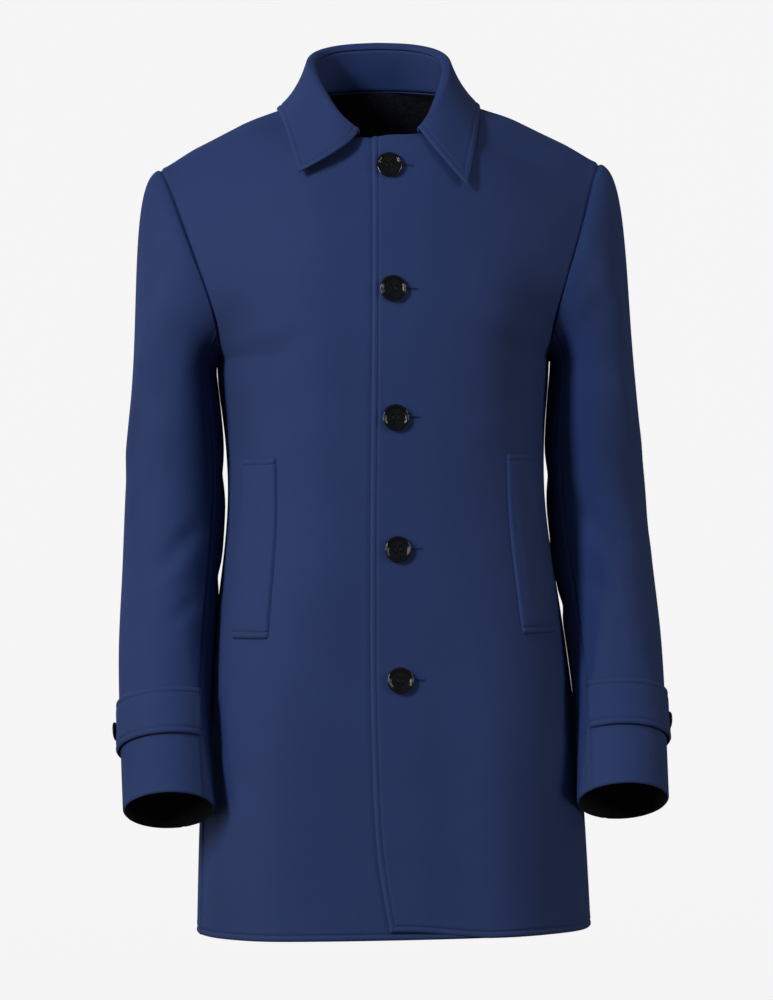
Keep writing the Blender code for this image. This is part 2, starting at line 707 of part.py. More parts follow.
def make_collar(cloth):
    left_stand, left_fall = collar_half("left")
    right_stand, right_fall = collar_half("right")
    for name, left, right in (
        ("collar_stand", left_stand, right_stand),
        ("collar_fall", left_fall, right_fall),
    ):
        middle = np.concatenate((left[:, :-1], mirrored(right)[:, ::-1]), axis=1)
        normal = grid_normals(middle)
        add_wall(name, middle + COLLAR_CLOTH / 2 * normal, middle - COLLAR_CLOTH / 2 * normal, cloth)


def make_button(name, radius, place, direction, plastic):
    """A turned button with a raised rim and a dished middle, its back on the cloth."""
    section = [(turn.out * radius, turn.up * radius) for turn in BUTTON_SECTION]
    verts = []
    for out, up in section:
        for k in range(BUTTON_SIDES):
            angle = 2.0 * math.pi * k / BUTTON_SIDES
            verts.append((out * math.cos(angle), out * math.sin(angle), up))
    verts.append((0.0, 0.0, BUTTON_DISH * radius))
    centre = len(verts) - 1
    faces = [tuple(range(BUTTON_SIDES))]
    for ring in range(len(section) - 1):
        for k in range(BUTTON_SIDES):
            here = ring * BUTTON_SIDES + k
            there = ring * BUTTON_SIDES + (k + 1) % BUTTON_SIDES
            faces.append((here, there, there + BUTTON_SIDES, here + BUTTON_SIDES))
    top = (len(section) - 1) * BUTTON_SIDES
    for k in range(BUTTON_SIDES):
        faces.append((top + k, top + (k + 1) % BUTTON_SIDES, centre))
    button = add_object(name, verts, faces, plastic)
    button.rotation_mode = "QUATERNION"
    button.rotation_quaternion = Vector(direction).to_track_quat("Z", "Y")
    button.location = place


def make_front_buttons(plastic):
    for number, height in enumerate(BUTTON_HEIGHTS, start=1):
        v, s = front_at(BUTTON_X, height)
        face, normal = front_surface(np.array([[v]]), np.array([[s]]), True)
        place = face[0, 0] + APPLIED_GAP * normal[0, 0]
        make_button("button_%d" % number, BUTTON_RADIUS, place, normal[0, 0], plastic)


def make_cuff_button(side, plastic):
    here, normal = sleeve_place((TAB_LOW + TAB_HIGH) / 2, TAB_BUTTON_TURN, CUFF_SWING[side])
    place = here + normal * (2 * APPLIED_GAP + WELT_CLOTH)
    if side == "right":
        place = mirrored(place)
        normal = mirrored(normal)
    make_button("cuff_button_" + side, CUFF_BUTTON_RADIUS, place, normal, plastic)


def build():
    for thing in list(bpy.data.objects):
        bpy.data.objects.remove(thing)
    cloth = make_material("bonded_cloth", CLOTH_BLUE, CLOTH_ROUGHNESS)
    plastic = make_material("button_plastic", BUTTON_BLACK, BUTTON_ROUGHNESS)
    make_back(cloth)
    make_collar(cloth)
    make_front_buttons(plastic)
    for side in ("left", "right"):
        make_front(side, cloth)
        make_sleeve(side, cloth)
        make_welt(side, cloth)
        make_cuff_tab(side, cloth)
        make_cuff_button(side, plastic)


build()
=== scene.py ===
"""Waterproof single-breasted coat: the pieces as they look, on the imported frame, with studio and camera."""

import math
from collections import namedtuple

import bpy
import numpy as np
from mathutils import Matrix, Vector, kdtree


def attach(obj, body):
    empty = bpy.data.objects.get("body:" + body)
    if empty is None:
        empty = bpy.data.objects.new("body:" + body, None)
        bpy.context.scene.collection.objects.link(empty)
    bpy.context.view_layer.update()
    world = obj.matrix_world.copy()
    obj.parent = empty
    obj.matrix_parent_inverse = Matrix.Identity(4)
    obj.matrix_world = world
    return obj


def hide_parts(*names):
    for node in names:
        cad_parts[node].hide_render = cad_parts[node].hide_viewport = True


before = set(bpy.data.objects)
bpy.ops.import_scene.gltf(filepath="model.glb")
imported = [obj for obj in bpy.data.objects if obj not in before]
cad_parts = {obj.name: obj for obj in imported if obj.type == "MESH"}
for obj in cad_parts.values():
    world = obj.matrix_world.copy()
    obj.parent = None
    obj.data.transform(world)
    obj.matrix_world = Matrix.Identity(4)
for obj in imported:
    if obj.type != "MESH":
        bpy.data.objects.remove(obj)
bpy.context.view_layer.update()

# Fronts
# Two panels of smooth bonded cloth, each cut in one from hem to shoulder seam.  The left one laps over the
# right one.  Both are topstitched along front edge and hem; side, armhole and shoulder edges are seamed.
Ring = namedtuple("Ring", "z side_x side_y front_y back_y")
BODY_RINGS = (
    Ring(-0.857, 0.200, -0.030, -0.152, 0.154),
    Ring(-0.740, 0.195, -0.031, -0.149, 0.153),
    Ring(-0.620, 0.186, -0.032, -0.145, 0.149),
    Ring(-0.510, 0.1724, -0.029, -0.141, 0.135),
    Ring(-0.410, 0.1616, -0.022, -0.138, 0.125),
    Ring(-0.330, 0.1651, -0.011, -0.138, 0.130),
)
SIDE_TURN = 80
RING_PULL_IN = 0.55
RING_PULL_OUT = 0.41

# Rows from the front or neck edge (in) to the armhole (out): end points, plan headings, reach of the curve
Yoke = namedtuple("Yoke", "in_x in_y in_z out_x out_y out_z in_turn out_turn in_pull out_pull")
FRONT_YOKE = (
    Yoke(0.000, -0.138, -0.262, 0.1720, 0.000, -0.268, 0, 83, 0.535, 0.390),
    Yoke(0.000, -0.137, -0.236, 0.1705, -0.030, -0.260, 0, 77, 0.520, 0.366),
    Yoke(0.000, -0.135, -0.206, 0.1725, -0.054, -0.240, 0, 62, 0.49, 0.32),
    Yoke(0.000, -0.129, -0.162, 0.1805, -0.067, -0.208, 0, 47, 0.43, 0.29),
    Yoke(0.000, -0.115, -0.104, 0.1940, -0.060, -0.166, 0, 38, 0.38, 0.29),
    Yoke(0.000, -0.091, -0.043, 0.2075, -0.041, -0.124, 0, 33, 0.35, 0.31),
    Yoke(0.040, -0.075, -0.039, 0.2170, -0.020, -0.094, 6, 24, 0.34, 0.33),
    Yoke(0.066, -0.037, -0.021, 0.2240, -0.003, -0.076, 4, 12, 0.33, 0.33),
    Yoke(0.078, 0.008, 0.000, 0.2270, 0.013, -0.069, 0, 0, 0.33, 0.33),
)
BACK_YOKE = (
    Yoke(0.065, 0.045, 0.009, 0.2260, 0.032, -0.076, -3, -10, 0.33, 0.33),
    Yoke(0.035, 0.062, 0.013, 0.2230, 0.050, -0.092, -3, -18, 0.34, 0.33),
    Yoke(0.000, 0.065, 0.014, 0.2170, 0.068, -0.120, 0, -28, 0.36, 0.32),
    Yoke(0.000, 0.094, -0.050, 0.2050, 0.083, -0.160, 0, -38, 0.38, 0.31),
    Yoke(0.000, 0.120, -0.118, 0.1910, 0.083, -0.206, 0, -50, 0.42, 0.33),
    Yoke(0.000, 0.132, -0.180, 0.1795, 0.062, -0.242, 0, -66, 0.46, 0.35),
    Yoke(0.000, 0.135, -0.228, 0.1745, 0.032, -0.261, 0, -83, 0.51, 0.38),
    Yoke(0.000, 0.135, -0.262, 0.1720, 0.000, -0.268, 0, -97, 0.525, 0.380),
)
NECK_HALF_WIDTH = 0.078
NECK_FRONT_ROW = len(BODY_RINGS) + 5
SHOULDER_ROW = len(BODY_RINGS) + len(FRONT_YOKE) - 1
NECK_BACK_ROW = SHOULDER_ROW + 3
UNDERARM_FRONT_ROW = len(BODY_RINGS)
UNDERARM_BACK_ROW = SHOULDER_ROW + len(BACK_YOKE)
ARC_SAMPLES = 25
NUDGE = 0.0005
SEARCH = 13


def unit(vectors):
    return vectors / np.linalg.norm(vectors, axis=-1, keepdims=True)


def ease(x):
    x = np.clip(x, 0.0, 1.0)
    return x * x * (3.0 - 2.0 * x)


def smooth(knots, values, at):
    """Cubic through a table's rows that bends evenly from row to row."""
    step = np.diff(knots)
    rise = np.diff(values, axis=0) / step[:, None]
    system = np.eye(len(knots))
    turn = np.zeros_like(values)
    for row in range(1, len(knots) - 1):
        system[row, row - 1:row + 2] = step[row - 1], 2.0 * (step[row - 1] + step[row]), step[row]
        turn[row] = 6.0 * (rise[row] - rise[row - 1])
    bend = np.linalg.solve(system, turn)
    row = np.clip(np.searchsorted(knots, at, side="right") - 1, 0, len(knots) - 2)
    span = step[row][:, None]
    late = (at[:, None] - knots[row][:, None]) / span
    early = 1.0 - late
    bulge = (early ** 3 - early) * bend[row] + (late ** 3 - late) * bend[row + 1]
    return early * values[row] + late * values[row + 1] + bulge * span ** 2 / 6.0


def smooth_with_corners(knots, values, at, corners):
    """The same cubic, free to turn a corner at the given rows."""
    result = np.empty((len(at), values.shape[1]))
    limits = [0, *corners, len(knots) - 1]
    for first, last in zip(limits[:-1], limits[1:]):
        above = at >= knots[first] if first else np.full(len(at), True)
        below = at < knots[last] if last < len(knots) - 1 else np.full(len(at), True)
        inside = above & below
        result[inside] = smooth(knots[first:last + 1], values[first:last + 1], at[inside])
    return result


def bezier(controls, t):
    t = t[..., None]
    weights = ((1 - t) ** 3, 3 * t * (1 - t) ** 2, 3 * t * t * (1 - t), t ** 3)
    return sum(weight * controls[..., k, :] for k, weight in enumerate(weights))


def running_length(points):
    steps = np.linalg.norm(np.diff(points, axis=0), axis=1)
    return np.concatenate(([0.0], np.cumsum(steps)))


def heading(turn):
    return np.array((math.cos(math.radians(turn)), math.sin(math.radians(turn)), 0.0))


def body_row(start, end, in_turn, out_turn, in_pull, out_pull):
    """One row of the body as its inner end, both handles and its outer end."""
    start = np.array(start)
    end = np.array(end)
    chord = np.linalg.norm(end - start)
    fall = np.array((0.0, 0.0, (end[2] - start[2]) / 3.0))
    reach_in = in_pull * chord * heading(in_turn) + fall * start[0] / NECK_HALF_WIDTH
    reach_out = -out_pull * chord * heading(out_turn) - fall
    return start, start + reach_in, end + reach_out, end


def ring_row(ring, middle_y, out_turn):
    start = (0.0, middle_y, ring.z)
    end = (ring.side_x, ring.side_y, ring.z)
    return body_row(start, end, 0.0, out_turn, RING_PULL_IN, RING_PULL_OUT)


def yoke_row(row):
    return body_row(row[0:3], row[3:6], *row[6:])


rows = [ring_row(ring, ring.front_y, SIDE_TURN) for ring in BODY_RINGS]
rows += [yoke_row(row) for row in FRONT_YOKE + BACK_YOKE]
rows += [ring_row(ring, ring.back_y, SIDE_TURN - 180) for ring in reversed(BODY_RINGS)]
CONTROLS = np.array(rows)
KNOTS = running_length(bezier(CONTROLS, np.full(len(rows), 0.5)))
SHOULDER = KNOTS[SHOULDER_ROW]
NECK_FRONT = KNOTS[NECK_FRONT_ROW]
NECK_BACK = KNOTS[NECK_BACK_ROW]


def body_controls(v):
    return np.stack((
        smooth_with_corners(KNOTS, CONTROLS[:, 0], v, (NECK_FRONT_ROW, NECK_BACK_ROW)),
        smooth(KNOTS, CONTROLS[:, 1], v),
        smooth(KNOTS, CONTROLS[:, 2], v),
        smooth_with_corners(KNOTS, CONTROLS[:, 3], v, (UNDERARM_FRONT_ROW, UNDERARM_BACK_ROW)),
    ), axis=1)


def body_point(v, s):
    """Points of the body: v runs up the front and down the back, s is a share of each row's length."""
    v, s = np.broadcast_arrays(np.asarray(v, float), np.asarray(s, float))
    controls = body_controls(v.ravel())
    stops = np.linspace(0.0, 1.0, ARC_SAMPLES)
    trail = bezier(controls[:, None], np.broadcast_to(stops, (len(controls), ARC_SAMPLES)))
    length = np.cumsum(np.linalg.norm(np.diff(trail, axis=1), axis=2), axis=1)
    length = np.hstack((np.zeros((len(length), 1)), length))
    wanted = np.abs(s.ravel()) * length[:, -1]
    stop = np.clip((length <= wanted[:, None]).sum(axis=1) - 1, 0, ARC_SAMPLES - 2)
    each = np.arange(len(stop))
    share = (wanted - length[each, stop]) / (length[each, stop + 1] - length[each, stop])
    points = bezier(controls, (stop + share) / (ARC_SAMPLES - 1))
    points[:, 0] *= np.where(s.ravel() < 0.0, -1.0, 1.0)
    return points.reshape(v.shape + (3,))


def body_normal(v, s):
    v, s = np.broadcast_arrays(np.asarray(v, float), np.asarray(s, float))
    up = np.clip(v + NUDGE, 0.0, KNOTS[-1])
    down = np.clip(v - NUDGE, 0.0, KNOTS[-1])
    before = np.where(s < 0.0, s - NUDGE, np.maximum(s - NUDGE, 0.0))
    along = body_point(v, np.minimum(s + NUDGE, 1.0)) - body_point(v, before)
    return unit(np.cross(along, body_point(up, s) - body_point(down, s)))


def row_length(v):
    shares = np.linspace(0.0, 1.0, ARC_SAMPLES)
    trail = body_point(np.asarray(v, float)[:, None], shares[None, :])
    return np.linalg.norm(np.diff(trail, axis=1), axis=2).sum(axis=1)


def place_at(target, axes, low, high):
    """The place on the body, as v and s, whose two given coordinates come nearest the target."""
    middle = np.array(((low + high) / 2, 0.5))
    reach = np.array(((high - low) / 2, 0.5))
    while reach[0] > NUDGE / 10:
        v = np.clip(middle[0] + reach[0] * np.linspace(-1, 1, SEARCH), low, high)
        s = np.clip(middle[1] + reach[1] * np.linspace(-1, 1, SEARCH), 0.0, 1.0)
        found = body_point(v[:, None], s[None, :])[..., list(axes)]
        best = np.argmin(((found - np.array(target)) ** 2).sum(axis=-1))
        middle = np.array((v[best // SEARCH], s[best % SEARCH]))
        reach = reach / 3
    return middle


def front_at(x, z):
    return place_at((x, z), (0, 2), 0.0, SHOULDER)


def mirrored(points):
    return points * np.array((-1.0, 1.0, 1.0))


# Soft creases: both ends on the panel, height of the ridge (a trough is below zero) and half width
Crease = namedtuple("Crease", "x0 z0 x1 z1 lift width")
CREASE_TAPER = 0.34
FRONT_CREASES = {
    "left": (
        Crease(0.092, -0.006, 0.234, -0.072, 0.0050, 0.026),
        Crease(0.165, -0.150, 0.118, -0.400, -0.0026, 0.020),
        Crease(0.120, -0.120, 0.085, -0.330, 0.0016, 0.026),
        Crease(0.150, -0.262, 0.050, -0.232, -0.0010, 0.012),
        Crease(0.156, -0.330, 0.060, -0.352, 0.0008, 0.013),
        Crease(0.045, -0.480, 0.058, -1.000, -0.0022, 0.026),
        Crease(0.098, -0.560, 0.112, -1.020, 0.0030, 0.024),
        Crease(0.150, -0.600, 0.163, -0.990, -0.0026, 0.018),
        Crease(0.186, -0.600, 0.193, -1.000, 0.0018, 0.013),
    ),
    "right": (
        Crease(0.092, -0.006, 0.234, -0.072, 0.0050, 0.026),
        Crease(0.160, -0.160, 0.122, -0.380, -0.0020, 0.018),
        Crease(0.110, -0.110, 0.090, -0.350, 0.0014, 0.030),
        Crease(0.150, -0.290, 0.055, -0.222, -0.0010, 0.013),
        Crease(0.150, -0.372, 0.062, -0.338, 0.0007, 0.012),
        Crease(0.070, -0.520, 0.080, -1.040, -0.0024, 0.028),
        Crease(0.125, -0.590, 0.136, -0.980, 0.0026, 0.021),
        Crease(0.168, -0.580, 0.178, -1.020, -0.0022, 0.017),
    ),
}


def crease_lift(creases, across, up):
    total = np.zeros(np.broadcast(across, up).shape)
    for crease in creases:
        run_x = crease.x1 - crease.x0
        run_z = crease.z1 - crease.z0
        length = math.hypot(run_x, run_z)
        along = ((across - crease.x0) * run_x + (up - crease.z0) * run_z) / length ** 2
        off = ((across - crease.x0) * run_z - (up - crease.z0) * run_x) / length
        fade = ease(along / CREASE_TAPER) * ease((1.0 - along) / CREASE_TAPER)
        total += crease.lift * fade * np.exp(-(off / crease.width) ** 2)
    return total


# A turned edge is full, rolls over, and is drawn in by a row of stitches; a seam sinks into a ditch
STITCH_IN = 0.0062
STITCH_DEPTH = 0.0008
STITCH_WIDTH = 0.0010
EDGE_ROLL = 0.0012
EDGE_ROUND = 0.0022
EDGE_SWELL = 0.0003
EDGE_SWELL_WIDTH = 0.0020
BEYOND_STITCH = 1.6
BEYOND_WIDTH = 0.0024
DITCH_DEPTH = 0.0011
DITCH_WIDTH = 0.0017
SEAM_SWELL = 0.0004
SEAM_SWELL_AT = 0.0042
SEAM_SWELL_WIDTH = 0.0022
EDGE_STEPS = (0.0, 0.0004, 0.0010, 0.0018, 0.0030, 0.0041, 0.0048, 0.0055, STITCH_IN, 0.0069, 0.0076,
              0.0084, 0.0096, 0.0114, 0.0140)
SEAM_STEPS = (0.0, 0.0004, 0.0009, 0.0015, 0.0023, 0.0034, 0.0050, 0.0072, 0.0100)
STITCH_STEP = EDGE_STEPS.index(STITCH_IN)


def rolled_edge(distance):
    return -EDGE_ROLL * (1.0 - ease(distance / EDGE_ROUND)) ** 2


def sewn_edge(distance):
    groove = STITCH_DEPTH * np.exp(-((distance - STITCH_IN) / STITCH_WIDTH) ** 2)
    inside = EDGE_SWELL * np.exp(-((distance - STITCH_IN / 2) / EDGE_SWELL_WIDTH) ** 2)
    beyond = EDGE_SWELL / 2 * np.exp(-((distance - BEYOND_STITCH * STITCH_IN) / BEYOND_WIDTH) ** 2)
    return rolled_edge(distance) - groove + inside + beyond


def seam_ditch(distance):
    swell = SEAM_SWELL * np.exp(-((distance - SEAM_SWELL_AT) / SEAM_SWELL_WIDTH) ** 2)
    return swell - DITCH_DEPTH * np.exp(-(distance / DITCH_WIDTH) ** 2)


def spread(length, first, last, step):
    """Distances from one edge of a panel to the other: close together by both edges, even between."""
    length = np.atleast_1d(length)[:, None]
    count = math.ceil((length.max() - first[-1] - last[-1]) / step)
    share = np.linspace(0.0, 1.0, count + 1)[1:-1]
    near = np.broadcast_to(np.array(first), (len(length), len(first)))
    between = first[-1] + (length - first[-1] - last[-1]) * share
    return np.hstack((near, between, length - np.array(last)[::-1]))


class Shade:
    """A shader value: arithmetic on it adds maths nodes."""

    def __init__(self, finish, socket):
        self.finish = finish
        self.socket = socket

    def maths(self, operation, first, second=0.0):
        return self.finish.node("ShaderNodeMath", {"operation": operation}, {0: first, 1: second})

    def __add__(self, other):
        return self.maths("ADD", self, other)

    __radd__ = __add__

    def __mul__(self, other):
        return self.maths("MULTIPLY", self, other)

    __rmul__ = __mul__

    def __sub__(self, other):
        return self.maths("SUBTRACT", self, other)

    def __rsub__(self, other):
        return self.maths("SUBTRACT", other, self)

    def sine(self):
        return self.maths("SINE", self)

    def root(self):
        return self.maths("SQRT", self)

    def over(self, low, high):
        """Zero at low, one at high, eased between."""
        settings = {"interpolation_type": "SMOOTHSTEP"}
        sockets = {"Value": self, "From Min": low, "From Max": high}
        return self.finish.node("ShaderNodeMapRange", settings, sockets)


# Sockets of a Mix node that mixes colours
MIX_AMOUNT = 0
MIX_FIRST = 6
MIX_SECOND = 7
MIX_RESULT = 2


class Finish:
    """A material made from nodes."""

    def __init__(self, name):
        self.material = bpy.data.materials.new(name)
        self.material.use_nodes = True
        self.tree = self.material.node_tree
        self.shader = self.tree.nodes["Principled BSDF"]

    def join(self, socket, value):
        if isinstance(value, Shade):
            self.tree.links.new(value.socket, socket)
        else:
            socket.default_value = value

    def node(self, kind, settings, sockets, output=0):
        made = self.tree.nodes.new(kind)
        for name, value in settings.items():
            setattr(made, name, value)
        for name, value in sockets.items():
            self.join(made.inputs[name], value)
        return Shade(self, made.outputs[output])

    def part(self, vector, axis):
        return self.node("ShaderNodeSeparateXYZ", {}, {"Vector": vector}, axis)

    def noise(self, where, scale, detail=2.0):
        return self.node("ShaderNodeTexNoise", {}, {"Vector": where, "Scale": scale, "Detail": detail})

    def mixed(self, amount, first, second):
        """Colour between two colours."""
        first, second = ((*c, 1.0) if isinstance(c, tuple) else c for c in (first, second))
        sockets = {MIX_AMOUNT: amount, MIX_FIRST: first, MIX_SECOND: second}
        return self.node("ShaderNodeMix", {"data_type": "RGBA"}, sockets, MIX_RESULT)

    def bump(self, height, distance, below=None):
        sockets = {"Height": height, "Distance": distance, "Strength": 1.0}
        if below is not None:
            sockets["Normal"] = below
        return self.node("ShaderNodeBump", {}, sockets)

    def shine(self, **sockets):
        for name, value in sockets.items():
            self.join(self.shader.inputs[name.replace("_", " ")], value)


CLOTH = 0.0020
CLOTH_BLUE = (0.0163, 0.0326, 0.1120)
CLOTH_PALE = (0.0186, 0.0364, 0.1220)
CLOTH_DEEP = (0.0137, 0.0279, 0.0980)
WORN_BLUE = (0.0270, 0.0475, 0.1480)
YARN_PITCH = 0.00052
BROAD_SCALE = 7.0
FINE_SCALE = 420.0
FLECK_SCALE = 1500.0
BROAD_RELIEF = 0.0006
FINE_RELIEF = 0.00010
WEAVE_RELIEF = 0.000035


def bonded_cloth():
    """Face of the cloth: a very fine tight weave, slightly uneven in tone, paler where edges rub."""
    finish = Finish("bonded_cloth_face")
    grain = finish.node("ShaderNodeUVMap", {"uv_map": "cloth"}, {})
    where = finish.node("ShaderNodeTexCoord", {}, {}, "Object")
    warp = (finish.part(grain, 0) * (2 * math.pi / YARN_PITCH)).sine()
    weft = (finish.part(grain, 1) * (2 * math.pi / YARN_PITCH)).sine()
    broad = finish.noise(where, BROAD_SCALE, 3.0)
    fine = finish.noise(where, FINE_SCALE, 3.0)
    fleck = finish.noise(where, FLECK_SCALE, 1.0)
    wear = finish.node("ShaderNodeAttribute", {"attribute_name": "wear"}, {}, "Fac")
    tone = finish.mixed(broad.over(0.30, 0.70), CLOTH_DEEP, CLOTH_PALE)
    tone = finish.mixed(0.55, tone, CLOTH_BLUE)
    tone = finish.mixed(fine.over(0.45, 0.80) * 0.22, tone, CLOTH_DEEP)
    tone = finish.mixed(fleck.over(0.55, 0.85) * 0.12, tone, WORN_BLUE)
    tone = finish.mixed(wear * fine.over(0.30, 0.65) * 0.38, tone, WORN_BLUE)
    body = finish.bump(broad, BROAD_RELIEF)
    skin = finish.bump(fine, FINE_RELIEF, body)
    weave = finish.bump(warp * weft, WEAVE_RELIEF, skin)
    finish.shine(
        Base_Color=tone,
        Roughness=0.70 + 0.16 * fine - 0.06 * wear,
        Specular_IOR_Level=0.20,
        Sheen_Weight=0.03,
        Sheen_Roughness=0.45,
        Sheen_Tint=(0.52, 0.62, 0.90, 1.0),
        Normal=weave,
    )
    return finish.material


BACKING_BLACK = (0.0060, 0.0068, 0.0110)
BACKING_GREY = (0.0130, 0.0145, 0.0210)
KNIT_PITCH = 0.0011
KNIT_SCALE = 300.0
KNIT_RELIEF = 0.00008


def cloth_backing():
    """Inner face of the cloth: a dull black knit bonded to the film."""
    finish = Finish("bonded_cloth_backing")
    grain = finish.node("ShaderNodeUVMap", {"uv_map": "cloth"}, {})
    where = finish.node("ShaderNodeTexCoord", {}, {}, "Object")
    wale = (finish.part(grain, 0) * (2 * math.pi / KNIT_PITCH)).sine()
    course = (finish.part(grain, 1) * (2 * math.pi / KNIT_PITCH)).sine()
    fine = finish.noise(where, KNIT_SCALE)
    tone = finish.mixed(fine.over(0.35, 0.70), BACKING_BLACK, BACKING_GREY)
    finish.shine(
        Base_Color=tone,
        Roughness=0.84 + 0.10 * fine,
        Specular_IOR_Level=0.20,
        Normal=finish.bump(wale * course, KNIT_RELIEF),
    )
    return finish.material


THREAD_BLUE = (0.0150, 0.0250, 0.0850)
THREAD_PALE = (0.0280, 0.0430, 0.1250)
TWIST_SCALE = 2600.0
TWIST_RELIEF = 0.00008


def sewing_thread(name, dark, pale):
    """Twisted polyester thread."""
    finish = Finish(name)
    where = finish.node("ShaderNodeTexCoord", {}, {}, "Object")
    twist = finish.noise(where, TWIST_SCALE)
    tone = finish.mixed(twist.over(0.35, 0.65), dark, pale)
    finish.shine(
        Base_Color=tone,
        Roughness=0.60 + 0.14 * twist,
        Specular_IOR_Level=0.20,
        Normal=finish.bump(twist, TWIST_RELIEF),
    )
    return finish.material


cloth_face = bonded_cloth()
backing = cloth_backing()
thread = sewing_thread("sewing_thread", THREAD_BLUE, THREAD_PALE)


def add_mesh(name, verts, faces, materials, slots):
    mesh = bpy.data.meshes.new(name)
    mesh.from_pydata(verts.tolist(), [], faces if isinstance(faces, list) else faces.tolist())
    for material in materials:
        mesh.materials.append(material)
    mesh.polygons.foreach_set("material_index", np.asarray(slots, dtype=np.int32))
    mesh.shade_smooth()
    piece = bpy.data.objects.new(name, mesh)
    bpy.context.scene.collection.objects.link(piece)
    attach(piece, "root")
    return piece


def grid_quads(index):
    return np.stack((index[:-1, :-1], index[:-1, 1:], index[1:, 1:], index[1:, :-1]), axis=-1).reshape(-1, 4)


def add_shell(name, outer, inner, grain, wear, inside, index=None):
    """Cloth as a closed thin shell between two grids of points, with its grain and worn edges."""
    count = outer.shape[0] * outer.shape[1]
    if index is None:
        quads = grid_quads(np.arange(count).reshape(outer.shape[:2]))
    else:
        quads = np.vstack([grid_quads(part) for part in index])
    outer = outer.reshape(-1, 3)
    inner = inner.reshape(-1, 3)
    spans = np.cross(outer[quads[:, 2]] - outer[quads[:, 0]], outer[quads[:, 3]] - outer[quads[:, 1]])
    if (spans * (outer - inner)[quads[:, 0]]).sum() < 0.0:
        quads = quads[:, ::-1]
    directed = np.concatenate([quads[:, [k, (k + 1) % 4]] for k in range(4)])
    ordered = np.sort(directed, axis=1)
    _, first, uses = np.unique(ordered[:, 0] * count + ordered[:, 1], return_index=True, return_counts=True)
    rim = directed[first[uses == 1]]
    walls = np.column_stack((rim[:, 1], rim[:, 0], rim[:, 0] + count, rim[:, 1] + count))
    faces = np.vstack((quads, quads[:, ::-1] + count, walls))
    used = np.unique(faces)
    renumber = np.zeros(2 * count, dtype=int)
    renumber[used] = np.arange(len(used))
    verts = np.vstack((outer, inner))[used]
    slots = np.concatenate((np.zeros(len(quads)), np.ones(len(quads)), np.zeros(len(walls))))
    piece = add_mesh(name, verts, renumber[faces], (cloth_face, inside), slots)
    corner = np.empty(len(piece.data.loops), dtype=np.int32)
    piece.data.loops.foreach_get("vertex_index", corner)
    both = np.vstack((grain.reshape(-1, 2), grain.reshape(-1, 2)))[used]
    layer = piece.data.uv_layers.new(name="cloth")
    layer.data.foreach_set("uv", both[corner].ravel())
    rubbed = piece.data.attributes.new("wear", "FLOAT", "POINT")
    rubbed.data.foreach_set("value", np.concatenate((wear.ravel(), np.zeros(count)))[used])
    return piece


STITCH_PITCH = 0.0036
STITCH_LENGTH = 0.0029
STITCH_RADIUS = 0.00032
STITCH_SIDES = 6
STITCH_RISE = 0.1
STITCH_SECTION = ((-1.0, 0.35), (-0.72, 0.95), (0.0, 1.0), (0.72, 0.95), (1.0, 0.35))


def stitch_mesh(centres, ways, normals, length, radius):
    """Vertices and faces of many small stitches: centre, direction and the way up of each."""
    sides = np.cross(normals, ways)
    verts = []
    for along, wide in STITCH_SECTION:
        for k in range(STITCH_SIDES):
            angle = 2.0 * math.pi * k / STITCH_SIDES
            ring = math.cos(angle) * sides + math.sin(angle) * normals
            verts.append(centres + along * length / 2 * ways + wide * radius * ring)
    verts = np.stack(verts, axis=1)
    per = verts.shape[1]
    one = []
    for ring in range(len(STITCH_SECTION) - 1):
        for k in range(STITCH_SIDES):
            here = ring * STITCH_SIDES + k
            there = ring * STITCH_SIDES + (k + 1) % STITCH_SIDES
            one.append((here, there, there + STITCH_SIDES, here + STITCH_SIDES))
    faces = (np.array(one)[None] + per * np.arange(len(verts))[:, None, None]).reshape(-1, 4)
    return verts.reshape(-1, 3), faces


def resample(line, distances):
    length = running_length(line)
    return np.stack([np.interp(distances, length, line[:, k]) for k in range(3)], axis=-1)


def stitches_along(line, normals):
    """Centres, directions and ups of a row of stitches down a line."""
    length = running_length(line)
    at = np.arange(STITCH_PITCH / 2, length[-1], STITCH_PITCH)
    before = resample(line, at - STITCH_PITCH / 4)
    after = resample(line, at + STITCH_PITCH / 4)
    ways = unit(after - before)
    ups = np.stack([np.interp(at, length, normals[:, k]) for k in range(3)], axis=-1)
    ups = unit(ups - ways * (ups * ways).sum(axis=1, keepdims=True))
    return resample(line, at), ways, ups


def add_stitching(name, runs):
    """Rows of topstitching, given as lines of points with the directions out of the cloth, in one piece."""
    parts = [stitches_along(line, normals) for line, normals in runs]
    centres, ways, ups = (np.concatenate(column) for column in zip(*parts))
    centres = centres + STITCH_RISE * STITCH_RADIUS * ups
    verts, faces = stitch_mesh(centres, ways, ups, STITCH_LENGTH, STITCH_RADIUS)
    piece = add_mesh(name, verts, faces, (thread,), np.zeros(len(faces)))
    return piece


# How far each front runs past the middle, and where the right one dips below the left one
Edge = namedtuple("Edge", "z over under")
FRONT_EDGES = (
    Edge(-0.857, 0.0117, 0.090),
    Edge(-0.815, 0.0180, 0.083),
    Edge(-0.772, 0.0227, 0.075),
    Edge(-0.700, 0.0259, 0.062),
    Edge(-0.500, 0.0250, 0.036),
    Edge(-0.330, 0.0207, 0.028),
    Edge(-0.043, 0.0130, 0.024),
)
LAP_GAP = 0.0008
LAP_END = 0.030
LAP_FADE = 0.050
HEM_RAISE = 0.008
HEM_RAISE_REACH = 0.095
HEM_RAISE_FADE = 0.10
BODY_STEP = 0.0040
WEAR_REACH = 0.0022


